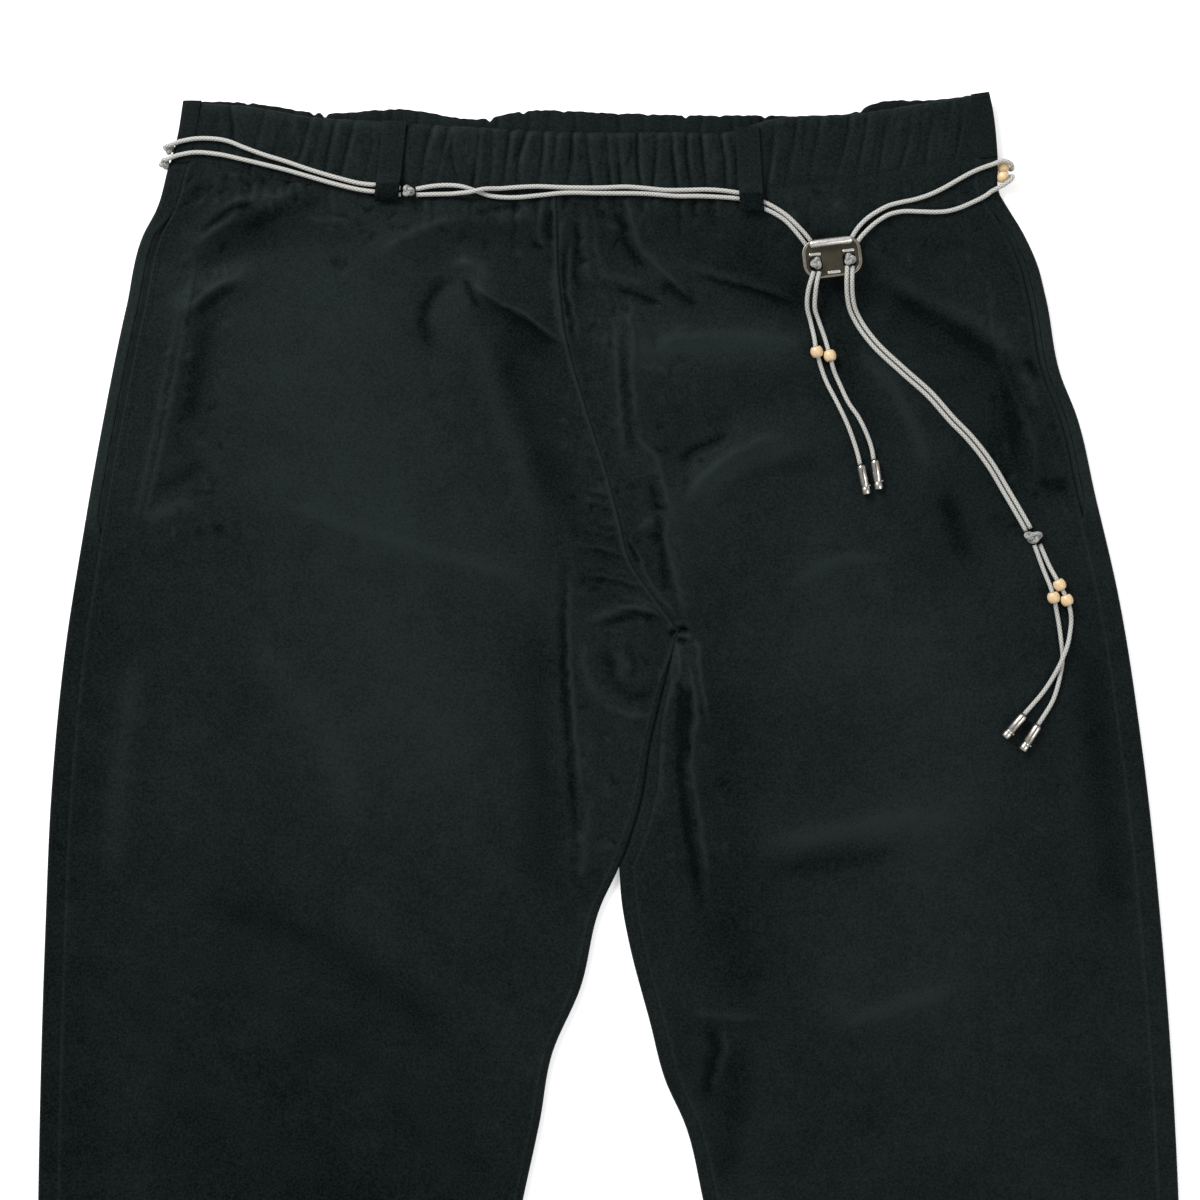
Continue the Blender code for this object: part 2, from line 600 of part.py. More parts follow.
def raised(needed, along, slope):
    """The lowest line over the needed heights that is nowhere steeper than slope."""
    return [max(n - slope * abs(s - here) for n, s in zip(needed, along)) for here in along]


def near_lock(across, down, margin):
    """Whether a point is within the lock's plate, or this far beside it."""
    x, d = across - LOCK_AT[0], down - LOCK_AT[1]
    u = x * math.cos(LOCK_TILT) - d * math.sin(LOCK_TILT)
    v = x * math.sin(LOCK_TILT) + d * math.cos(LOCK_TILT)
    return abs(u) < LOCK_WIDTH / 2 + margin and abs(v) < LOCK_HEIGHT / 2 + margin


def lock_base(tree):
    """Height of the plate's underside: one cord above the highest cloth beneath it."""
    spots = [(u, v) for u in range(-20, 21, 2) for v in range(-16, 15, 3)]
    return LOCK_UNDER + max(cloth_height(tree, LOCK_AT[0] + u, LOCK_AT[1] + v) for u, v in spots)


def laid_on(tree, route, base, below, beads, end_height):
    """A cord's points: on the cloth, over the cords already laid, and under or over the lock's plate."""
    lead = [point for point in route if len(point) == 3]
    flat = [point for point in route if len(point) == 2]
    points, fine = spaced(flat, CORD_SPACING), spaced(flat, CORD_SPACING / 5)
    over = near_lock(*route[0][:2], 0)
    under_plate, over_plate = base - CORD / 2 - SEAM, base + LOCK_WALL + CORD / 2 + SEAM
    floor = []
    for across, down, along in fine:
        height = cloth_height(tree, across, down) + CORD / 2 + SEAM
        for x, d, z in below:
            gap = math.hypot(across - x, down - d)
            if gap < CORD + SEAM:
                height = max(height, z + math.sqrt((CORD + SEAM) ** 2 - gap * gap))
        for bead_at in beads:
            if math.dist(bead_at, (across, down)) < BEAD_HALF + 0.5:
                height = max(height, cloth_height(tree, *bead_at, BEAD_RADIUS) + BEAD_RADIUS + SEAM)
        if over and near_lock(across, down, 1):
            height = max(height, over_plate)
        floor.append((along, height))
    needed = [max(h for s, h in floor if abs(s - here) < 0.65 * CORD_SPACING) for _, _, here in points]
    if end_height:
        needed[-1] = max(needed[-1], end_height)
    heights = raised(needed, [s for _, _, s in points], CORD_SLOPE)
    line = list(lead)
    for (across, down, _), height in zip(points, heights):
        beneath = near_lock(across, down, 4) and not over
        line.append((across, down, under_plate if beneath else height))
    return line


def cord(name, points, collection):
    data = bpy.data.curves.new(name, "CURVE")
    data.dimensions = "3D"
    data.bevel_depth = CORD / 2 * MM
    data.bevel_resolution = 2
    data.use_fill_caps = True
    spline = data.splines.new("POLY")
    spline.points.add(len(points) - 1)
    for slot, point in zip(spline.points, points):
        slot.co = (*place(*point), 1)
    return add(name, data, "cord", collection)


def densely(points, step=0.8):
    """More points on the same straight stretches, to measure distances from."""
    made = []
    for a, b in zip(points, points[1:]):
        count = max(int(math.dist(a, b) / step), 1)
        made += [tuple(a[i] + (b[i] - a[i]) * k / count for i in range(3)) for k in range(count)]
    return made + [points[-1]]


def turned(name, profile, finish, collection, steps=10):
    """A profile of (radius, height) turned round Z."""
    data = bpy.data.meshes.new(name)
    mesh = bmesh.new()
    points = [mesh.verts.new((radius * MM, 0, height * MM)) for radius, height in profile]
    for a, b in zip(points, points[1:]):
        mesh.edges.new((a, b))
    mesh.to_mesh(data)
    mesh.free()
    made = add(name, data, finish, collection)
    screw = made.modifiers.new("turn", "SCREW")
    screw.steps = screw.render_steps = steps
    screw.use_merge_vertices = True
    screw.merge_threshold = 0.00001
    return made


def turn_towards(item, centre, direction):
    """Puts a turned piece at a place, with its axis along a direction."""
    item.location = place(*centre)
    axis = Vector((direction[0], -direction[1], direction[2]))
    item.rotation_euler = axis.to_track_quat("Z", "Y").to_euler()


def bead(name, centre, direction, collection):
    profile = (
        (BEAD_HOLE, BEAD_HALF), (2.4, BEAD_HALF), (BEAD_RADIUS, 1.2), (BEAD_RADIUS, -1.2), (2.4, -BEAD_HALF),
        (BEAD_HOLE, -BEAD_HALF), (BEAD_HOLE, BEAD_HALF),
    )
    turn_towards(turned(name, profile, "wood", collection), centre, direction)


def end_place(tree, route):
    """Where the metal tip after a route's last point has its middle, and its direction."""
    (x0, d0), (x1, d1) = route[-2], route[-1]
    length = math.dist((x0, d0), (x1, d1))
    direction = ((x1 - x0) / length, (d1 - d0) / length, 0.0)
    spots = [(x1 + direction[0] * s, d1 + direction[1] * s) for s in np.linspace(0, END_LENGTH, 6)]
    height = max(cloth_height(tree, *spot, END_RADIUS) for spot in spots) + END_RADIUS + SEAM
    half = END_LENGTH / 2 + SEAM
    return (x1 + direction[0] * half, d1 + direction[1] * half, height), direction


def cord_end(name, centre, direction, collection):
    """A metal tip, open at its far end."""
    half, bore = END_LENGTH / 2, END_RADIUS - 0.6
    profile = (
        (0, half - 2), (bore, half - 2), (bore, half), (END_RADIUS, half), (END_RADIUS, 1 - half),
        (bore, -half), (0, -half),
    )
    turn_towards(turned(name, profile, "silver", collection), centre, direction)


def knot(name, centre, size, angle, collection):
    data = bpy.data.meshes.new(name)
    mesh = bmesh.new()
    bmesh.ops.create_uvsphere(mesh, u_segments=10, v_segments=6, radius=1)
    bmesh.ops.scale(mesh, vec=Vector(size) * MM / 2, verts=mesh.verts)
    mesh.to_mesh(data)
    mesh.free()
    data.shade_smooth()
    made = add(name, data, "cord", collection)
    made.location = place(*centre)
    made.rotation_euler = (0, 0, -math.radians(angle))


def box(name, size, bevel, collection):
    """A box whose upright edges are rounded."""
    mesh = bmesh.new()
    bmesh.ops.create_cube(mesh, size=1)
    bmesh.ops.scale(mesh, vec=Vector(size) * MM, verts=mesh.verts)
    upright = [e for e in mesh.edges if abs(e.verts[0].co.z - e.verts[1].co.z) > size[2] * MM / 2]
    bmesh.ops.bevel(mesh, geom=upright, offset=bevel * MM, segments=3, affect="EDGES", profile=0.5)
    data = bpy.data.meshes.new(name)
    mesh.to_mesh(data)
    mesh.free()
    made = bpy.data.objects.new(name, data)
    collection.objects.link(made)
    return made


def on_lock(u, v):
    """A place on the garment from one on the lock: u along its width, v down its height."""
    across = LOCK_AT[0] + u * math.cos(LOCK_TILT) + v * math.sin(LOCK_TILT)
    return across, LOCK_AT[1] - u * math.sin(LOCK_TILT) + v * math.cos(LOCK_TILT)


def lock(base, pieces, cutters):
    """The cord lock: a plate with two holes, a knot in each, and a polished bar along its upper edge."""
    plate = box("lock_plate", (LOCK_WIDTH, LOCK_HEIGHT, LOCK_WALL), 3.0, pieces)
    plate.data.materials.append(material("gunmetal"))
    plate.parent = bpy.data.objects["trousers"]
    plate.location = place(*LOCK_AT, base + LOCK_WALL / 2)
    plate.rotation_euler = (0, 0, LOCK_TILT)
    for side, name in ((-1, "right"), (1, "left")):
        at = on_lock(side * LOCK_HOLE_OFFSET[0], LOCK_HOLE_OFFSET[1])
        hole = box(f"hole_{name}", (LOCK_HOLE, LOCK_HOLE, 4 * LOCK_WALL), 1.2, cutters)
        hole.location = place(*at, base)
        hole.rotation_euler = (0, 0, LOCK_TILT)
        hole.hide_render = True
        hole.display_type = "WIRE"
        cut = plate.modifiers.new("hole", "BOOLEAN")
        cut.operation = "DIFFERENCE"
        cut.object = hole
        height = base + LOCK_WALL + SEAM + KNOT_AT_LOCK[2] / 2
        knot(f"knot_lock_{name}", (*at, height), KNOT_AT_LOCK, 0, pieces)
    half, radius = LOCK_WIDTH * 0.37, LOCK_BAR_RADIUS
    profile = (
        (0, half), (radius - 0.5, half), (radius, half - 0.5), (radius, 0.5 - half), (radius - 0.5, -half),
        (0, -half),
    )
    bar = turned("lock_bar", profile, "silver", pieces, 12)
    centre = (*on_lock(0, -LOCK_BAR_OFFSET), base + LOCK_WALL + SEAM + radius)
    turn_towards(bar, centre, (math.cos(LOCK_TILT), -math.sin(LOCK_TILT), 0))


def belt_loop(name, top, bottom, tree, cords, collection):
    """A strip from the band's edge over the cords to the panel. top and bottom are (across, down)."""
    length = bottom[1] - top[1]
    steps = 16
    needed = []
    for i in range(steps + 1):
        down = top[1] + length * i / steps
        across = top[0] + (bottom[0] - top[0]) * i / steps
        height = max(cloth_height(tree, across + x, down, 1.5) for x in (-5, -2.5, 0, 2.5, 5)) + SEAM
        for line in cords:
            for x, d, z in line:
                beneath = abs(across - x) < LOOP_WIDTH / 2 + 1
                if beneath and abs(down - d) < (CORD + length / steps) / 2 + SEAM:
                    height = max(height, z + CORD / 2 + SEAM)
        needed.append(height)
    heights = raised(needed, [length * i / steps for i in range(steps + 1)], 0.9)
    outer = []
    for i, height in enumerate(heights):
        down = top[1] + length * i / steps
        across = top[0] + (bottom[0] - top[0]) * i / steps
        outer.append([(across + x, down, height + LOOP_WALL) for x in (-LOOP_WIDTH / 2, LOOP_WIDTH / 2)])
    inner = [[(x, d, z - LOOP_WALL) for x, d, z in row] for row in outer]
    return wall(name, outer, inner, "cloth", collection)


def back_loop(name, across, collection):
    """A strip under the back band, which the part rests on, below the two cords."""
    profile = ((-3, 2.4), (6, 2.2), (12, 0.0), (36, 0.0), (42, 2.0), (44, 2.4))
    sides = (across - LOOP_WIDTH / 2, across + LOOP_WIDTH / 2)
    outer = [[(side, down, height) for side in sides] for down, height in profile]
    inner = [[(x, d, z + LOOP_WALL) for x, d, z in row] for row in outer]
    return wall(name, outer, inner, "cloth", collection)


def both_strands(route, apart):
    """Two routes beside one, each this far from it."""
    made = ([], [])
    for i, (x, d) in enumerate(route):
        a, b = route[max(i - 1, 0)], route[min(i + 1, len(route) - 1)]
        length = math.dist(a, b)
        normal = ((b[1] - a[1]) / length, -(b[0] - a[0]) / length)
        for line, sign in zip(made, (-1, 1)):
            line.append((x + sign * normal[0] * apart, d + sign * normal[1] * apart))
    return made


def direction_at(points, across, down):
    """The place on a laid cord nearest to a point, and the cord's direction there."""
    fine = densely(points, 0.4)
    i = min(range(len(fine)), key=lambda k: math.dist(fine[k][:2], (across, down)))
    before, after = fine[max(i - 5, 0)], fine[min(i + 5, len(fine) - 1)]
    middle = tuple((a + b) / 2 for a, b in zip(before, after))
    return middle, tuple(b - a for a, b in zip(before, after))


def belt(tree, pieces, cutters):
    """The drawstring with its lock, knots, beads and metal ends."""
    base = lock_base(tree)
    for name, route in (("cord_back_upper", BACK_UPPER), ("cord_back_lower", BACK_LOWER)):
        cord(name, spaced_at_height(route, BACK_SPACING), pieces)
    long_inner, long_outer = both_strands(LONG_TAIL, LONG_TAIL_APART)
    plan = (
        ("cord_right_upper", RIGHT_UPPER, None),
        ("cord_right_lower", RIGHT_LOWER, "cord_right_upper"),
        ("cord_front_lower", FRONT_LOWER, None),
        ("cord_front_upper", FRONT_UPPER, "cord_front_lower"),
        ("cord_left_upper", LEFT_UPPER, None),
        ("cord_left_lower", LEFT_LOWER, "cord_left_upper"),
        ("cord_tail_lower", TAIL_LOWER, None),
        ("cord_tail_upper", TAIL_UPPER, "cord_tail_lower"),
        ("cord_long_inner", long_inner, None),
        ("cord_long_outer", long_outer, "cord_long_inner"),
        ("cord_end_inner", LONG_END_INNER, None),
        ("cord_end_outer", LONG_END_OUTER, "cord_end_inner"),
    )
    laid = {}
    for name, route, other in plan:
        beads = [at for owner, at in BEADS if owner == name]
        tip = end_place(tree, route) if beads else None
        below = densely(laid[other]) if other else ()
        laid[name] = laid_on(tree, route, base, below, beads, tip and tip[0][2])
        cord(name, laid[name], pieces)
        if tip:
            cord_end(name.replace("cord_", "tip_"), *tip, pieces)
    for number, (owner, at) in enumerate(BEADS, 1):
        bead(f"bead_{number}", *direction_at(laid[owner], *at), pieces)
    for number, centre in enumerate(SIDE_BEADS, len(BEADS) + 1):
        bead(f"bead_{number}", centre, (0, 0, 1), pieces)
    for name, at, size, angle, height in KNOTS:
        resting = cloth_height(tree, *at, size[0] / 2) + SEAM + size[2] / 2
        knot(name, (*at, height or resting), size, angle, pieces)
    lock(base, pieces, cutters)
    return laid


def spaced_at_height(route, spacing):
    return [(x, d, route[0][2]) for x, d, _ in spaced([point[:2] for point in route], spacing)]


def trousers():
    for item in list(bpy.data.objects):
        bpy.data.objects.remove(item)
    pieces = bpy.data.collections.new("drawstring trousers")
    cutters = bpy.data.collections.new("cutters")
    for collection in (pieces, cutters):
        bpy.context.scene.collection.children.link(collection)
    origin = bpy.data.objects.new("trousers", None)
    pieces.objects.link(origin)
    for side in (-1, 1):
        pocket_facing(side, pieces)
    cloth = [back_panel(side, pieces) for side in (-1, 1)] + [front_panel(side, pieces) for side in (-1, 1)]
    cloth += [waistband_back(pieces), waistband_front(pieces)]
    tree = tree_of(cloth)
    laid = belt(tree, pieces, cutters)
    right = [densely(laid[name]) for name in ("cord_right_upper", "cord_right_lower")]
    left = [densely(laid[name]) for name in ("cord_front_upper", "cord_front_lower")]
    belt_loop("belt_loop_front_right", (-107.3, 3.5), (-111.5, 44), tree, right, pieces)
    belt_loop("belt_loop_front_left", (68.3, 6.5), (70.8, 49), tree, left, pieces)
    for number, across in enumerate((-130, 0, 120), 1):
        back_loop(f"belt_loop_back_{number}", across, pieces)


trousers()
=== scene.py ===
# %% [markdown]
# # Drawstring trousers, laid flat
#
# A pair of black, light, smooth trousers lies front up on a white surface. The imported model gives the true
# size and place of every piece. This script dresses it: each plain solid is replaced by a fine shell of
# cloth, a real strand of cord, a turned bead or a metal fitting, and each gets a material made of nodes.
#
# A point on the cloth is written as in the part's source, in millimetres: how far across from the middle,
# how far down from the waist, and how high over the ground.

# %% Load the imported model
import math

import bpy
import numpy as np
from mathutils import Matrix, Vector
from mathutils.bvhtree import BVHTree


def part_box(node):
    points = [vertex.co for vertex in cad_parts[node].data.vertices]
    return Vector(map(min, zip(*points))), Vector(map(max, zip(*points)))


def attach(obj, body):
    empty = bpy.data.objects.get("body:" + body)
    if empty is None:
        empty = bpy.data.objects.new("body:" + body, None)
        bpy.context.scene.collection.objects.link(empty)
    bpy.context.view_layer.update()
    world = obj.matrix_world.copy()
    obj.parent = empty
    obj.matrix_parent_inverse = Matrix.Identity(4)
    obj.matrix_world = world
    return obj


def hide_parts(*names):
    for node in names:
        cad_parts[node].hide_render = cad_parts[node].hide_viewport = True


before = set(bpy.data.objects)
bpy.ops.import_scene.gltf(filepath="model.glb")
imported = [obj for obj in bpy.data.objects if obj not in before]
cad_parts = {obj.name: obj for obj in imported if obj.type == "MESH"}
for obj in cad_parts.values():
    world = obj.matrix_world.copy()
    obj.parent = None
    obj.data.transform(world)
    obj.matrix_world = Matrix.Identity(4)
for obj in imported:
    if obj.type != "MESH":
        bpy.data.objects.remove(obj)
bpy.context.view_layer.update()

# %% [markdown]
# ## Sizes
#
# The same sizes as the solids have, so that each shell lies on its solid. At the seams the shells lap by a
# hair, so that no light shows through. `place` turns a point on the garment into metres in the frame.

# %% Sizes of the garment
MM = 0.001
WAIST_Y = 494.3
HEM = 1000.0
SEAM = 0.3
CLOSED = -0.03
LAID = 4.8
CROTCH = 257.5
LEGS_PART = 377.5
CORD = 2.2
SIDE_SEAM_IN = 9.5
POCKET_LIP = 6.0
BAND_TOP = 8.4
BAND_GATHER = 1.4
BAND_PLAIN = 4.0
BELT_LIFT = 3.8
BELT_LIFT_FROM, BELT_LIFT_TO = 46.0, 76.0
WAIST_ROWS_END = 76.0
WORD = {-1: "right", 1: "left"}


def place(points):
    points = np.asarray(points, float)
    return np.stack([points[..., 0], WAIST_Y - points[..., 1], points[..., 2]], axis=-1) * MM


def length_of(line):
    return float(np.linalg.norm(np.diff(line, axis=0), axis=1).sum())


def lengths_along(line):
    """Length from the start of a line to each of its points."""
    return np.concatenate([[0], np.cumsum(np.linalg.norm(np.diff(line, axis=0), axis=1))])


def linked(name, data):
    """A new object of the scene, with this data."""
    made = bpy.data.objects.new(name, data)
    bpy.context.scene.collection.objects.link(made)
    return made


def mesh_piece(name, points, faces, material):
    """A smooth mesh in the scene, from points in metres."""
    data = bpy.data.meshes.new(name)
    data.from_pydata(points, [], faces)
    data.shade_smooth()
    data.materials.append(material)
    return linked(name, data)


# %% [markdown]
# ## Camera
#
# The photo looks straight down from far away, so a long lens hangs over the upper part of the garment and
# the legs run out of the picture below the knee.

# %% Camera straight above
VIEW_WIDTH = 0.6
LENS, SENSOR = 85.0, 36.0
CLOTH_HEIGHT = 0.006
VIEW_ACROSS, VIEW_DOWN = -5.0, 242.5
view = bpy.data.cameras.new("view")
view.lens = LENS
view.sensor_width = SENSOR
camera = linked("camera", view)
height = VIEW_WIDTH * LENS / SENSOR + CLOTH_HEIGHT
camera.location = (VIEW_ACROSS * MM, (WAIST_Y - VIEW_DOWN) * MM, height)
bpy.context.scene.camera = camera
print("camera height:", round(camera.location.z, 3))

# %% [markdown]
# ## Smooth tables
#
# Each edge of the garment is a short table of measured places. A smooth function runs through them, and it
# takes whole grids of places at once, which keeps a shell of many thousand points quick to make.

# %% Functions through tables


def through(rows):
    at, value = (np.array(column, float) for column in zip(*rows))
    slope = np.gradient(value, at)

    def read(x):
        x = np.clip(x, at[0], at[-1])
        i = np.clip(np.searchsorted(at, x, side="right") - 1, 0, len(at) - 2)
        step = at[i + 1] - at[i]
        t = (x - at[i]) / step
        level = value[i] * (1 + 2 * t) * (1 - t) ** 2 + value[i + 1] * t * t * (3 - 2 * t)
        return level + step * (slope[i] * t * (1 - t) ** 2 - slope[i + 1] * t * t * (1 - t))

    return read


def ease(t):
    t = np.clip(t, 0.0, 1.0)
    return t * t * (3 - 2 * t)


# %% Edges of the garment, as rows of (down, across)
LEG_SIDE_RIGHT = (
    (-12, -213), (12.5, -217), (27, -221), (49, -227.5), (58.5, -233), (96, -242.5), (152.5, -254),
    (214, -264.8), (263, -272.5), (339.5, -280), (406.5, -283), (542.5, -286.6), (692.5, -287),
    (842.5, -286.5), (1000, -285),
)
LEG_SIDE_LEFT = (
    (-12, 189), (0, 191.5), (25, 194), (39, 194.5), (46, 198.5), (58.5, 206.5), (72.5, 213.5), (91, 218.5),
    (130, 226), (149, 233.5), (191, 243.5), (236, 254), (318.5, 267), (414.5, 277), (542.5, 285),
    (692.5, 287), (842.5, 286.5), (1000, 285),
)
CENTRE_SEAM = (
    (20, -28), (40, -27), (84.5, -25), (112.5, -21.5), (143, -13), (177.5, -2), (201.5, 4.5),
    (225, 11), (240.5, 21.5), (257.5, 34),
)
INSEAM_RIGHT = (
    (257.5, 34), (286, 27), (316, 20), (344, 15.5), (377.5, 4), (395.5, -4.5), (437.5, -15), (470, -29),
    (503, -35), (542.5, -43.5), (692.5, -70), (842.5, -85), (1000, -95),
)
INSEAM_LEFT = (
    (377.5, 4.6), (395, 6), (414, 9.5), (454, 20), (484, 28),
    (505, 37.5), (542.5, 46.5), (692.5, 67.5), (842.5, 84), (1000, 95),
)
SIDE = {-1: through(LEG_SIDE_RIGHT), 1: through(LEG_SIDE_LEFT)}
INNER = {-1: through(INSEAM_RIGHT), 1: through(INSEAM_LEFT)}
INSEAM_IN = {-1: 3.0, 1: 6.5}
POCKET = {-1: (48.0, 212.0), 1: (48.0, 203.0)}
centre_seam = through(CENTRE_SEAM)

# %% Edges of the waistband, as rows of (across, down)
BAND_SEAM = (
    (-230, 23.2), (-219, 24), (-207, 25), (-180, 30.5), (-129, 37), (-30, 38.5), (72.5, 38.5), (95.5, 35.5),
    (122.5, 33), (151.5, 27), (183, 22.3), (193, 21.5), (200, 21),
)
BACK_SEAM = ((-219, 24), (-27, 38.5), (193, 21.5))
BAND_FRONT_EDGE = (
    (-220, -6.5), (-180, -4), (-150, 1), (-118, 3.2), (-70, 6.2), (-21, 8.7), (32, 8.7), (63, 8), (78, 3),
    (122, -0.5), (165, -7), (194, -11.5),
)
BAND_BACK_EDGE = (
    (-220, -7), (-180, -6), (-144, -1), (-105, -3), (-61, 1.5), (-50, -1), (1.5, -1), (38, 0), (76, 0),
    (122, -1.5), (130, -5), (165, -7.8), (194, -12),
)
band_seam = through(BAND_SEAM)
front_edge = through(BAND_FRONT_EDGE)
back_edge = through(BAND_BACK_EDGE)


def back_seam(across):
    at, down = zip(*BACK_SEAM)
    return np.interp(across, at, down)


# %% [markdown]
# ## Where the panels meet
#
# The two fronts meet in the centre seam. The backs lie under them and roll up round the sides and the inner
# legs, so that the side seams and inseams lie a little way in on top, as they do when trousers are smoothed
# out by hand.

# %% Outlines of the panels


def inner_edge(side, down):
    down = np.asarray(down, float)
    below = INNER[side](down)
    if side > 0:
        beside = INNER[-1](down) + 2 * CLOSED
        below = np.where(down < LEGS_PART, beside, below)
    return np.where(down <= CROTCH, centre_seam(down), below)


def wrap_of(down):
    """How far the back's inner edge is turned up: none at the seat, a quarter at the crotch, then half."""
    return math.pi / 2 * (ease((down - CROTCH + 10) / 10) + ease((down - CROTCH) / 35))


def inseam_run(side, down):
    return max(INSEAM_IN[side] - LAID / 2, 0) * ease((down - CROTCH - 35) / 45)


def front_inner(side, down):
    rolled = LAID / 2 * (1 - np.sin(np.maximum(wrap_of(down), math.pi / 2)))
    return CLOSED + rolled + inseam_run(side, down)


def edge_drop(down):
    """How far the fronts dip to meet the backs at the crotch and the start of the inseams."""
    above = LAID / 2 * np.exp(-(((CROTCH - down) / 9) ** 2))
    below = LAID / 2 * (1 + np.cos(np.maximum(wrap_of(down), math.pi / 2)))
    return np.where(down < CROTCH, above, below)


def side_seam(side, down):
    top, bottom = POCKET[side]
    inside = ease((down - top) / 12) * ease((bottom - down) / 12)
    return SIDE_SEAM_IN - CLOSED - (SIDE_SEAM_IN - CLOSED - POCKET_LIP) * inside


def belt_lift(down):
    return BELT_LIFT * ease((BELT_LIFT_TO - down) / (BELT_LIFT_TO - BELT_LIFT_FROM))


# %% [markdown]
# ## Folds and creases
#
# The large folds are those of the solids. The creases are finer: soft ridges and troughs that fade out at
# their ends, each read off the photo, with similar ones lower down and on the back. A row holds a name for
# the reader, a height, half a width and the places that the crease runs through.

# %% Largest folds, as in the solids
FOLDS = (
    ("right hip ridge", 2.4, 8, ((-206, 66), (-185, 48), (-158, 43))),
    ("right hip trough", -1.2, 8, ((-196, 74), (-170, 62), (-140, 66))),
    ("right pocket ridge", 1.8, 8, ((-212, 98), (-201, 89), (-183, 81))),
    ("right pocket trough", -1.3, 10, ((-196, 99), (-201, 124), (-213, 166))),
    ("right waist curve", 1.7, 8, ((-115, 70), (-96, 59), (-76, 53), (-40, 48))),
    ("right hollow", -1.6, 12, ((-82, 84), (-93, 99), (-89, 121))),
    ("right peak", 2.2, 9, ((-70, 76), (-62, 88))),
    ("right diagonal", 1.8, 8, ((-62, 88), (-46, 96), (-24, 114))),
    ("right thigh shade", 1.5, 22, ((-66, 99), (-60, 132), (-46, 166), (-33, 216))),
    ("right inner crease", 1.5, 9, ((-18, 221), (-21, 258), (-18, 298), (-14, 344), (-14, 372))),
    ("right slant fold", 1.2, 16, ((-173, 190), (-133, 207), (-40, 235))),
    ("right shin fold", -1.0, 30, ((-200, 455), (-120, 520), (-70, 640))),
    ("right low fold", 1.2, 28, ((-230, 700), (-150, 760), (-120, 880))),
    ("crotch ridge", 2.4, 8, ((11, 104), (12, 138), (16, 160), (30, 192), (34, 216), (38, 242))),
    ("left waist ridge", 2.0, 8, ((11, 50), (18, 67), (28, 82), (41, 95))),
    ("left waist trough", -1.6, 8, ((43, 78), (70, 86), (95, 95))),
    ("left hip ridge", 1.6, 11, ((22, 120), (86, 121))),
    ("left arch", 2.0, 11, ((37, 196), (65, 167), (119, 156))),
    ("left arch hollow", -1.3, 11, ((39, 166), (62, 150))),
    ("left crotch fold", 1.8, 8, ((40, 274), (44, 298), (41, 323), (46, 351), (48, 374))),
    ("pouch curve", 1.6, 8, ((2, 296), (16, 300), (20, 289))),
    ("left pocket trough", -1.5, 13, ((135, 90), (160, 104), (185, 123), (198, 143), (203, 181))),
    ("left hip slope", 1.4, 12, ((136, 129), (151, 156), (157, 181))),
    ("left thigh band", -1.2, 12, ((168, 189), (178, 222))),
    ("left knee ridge", 1.7, 15, ((71, 366), (120, 358), (175, 350))),
    ("left knee fold", 1.4, 13, ((120, 452), (172, 438))),
    ("left inner hollow", -1.5, 10, ((40, 453), (54, 460), (50, 494))),
    ("left inner ridge", 1.8, 9, ((44, 446), (76, 447))),
    ("left shin fold", 1.2, 28, ((120, 620), (190, 580), (250, 590))),
    ("left low fold", -1.0, 30, ((110, 760), (160, 840), (170, 940))),
)

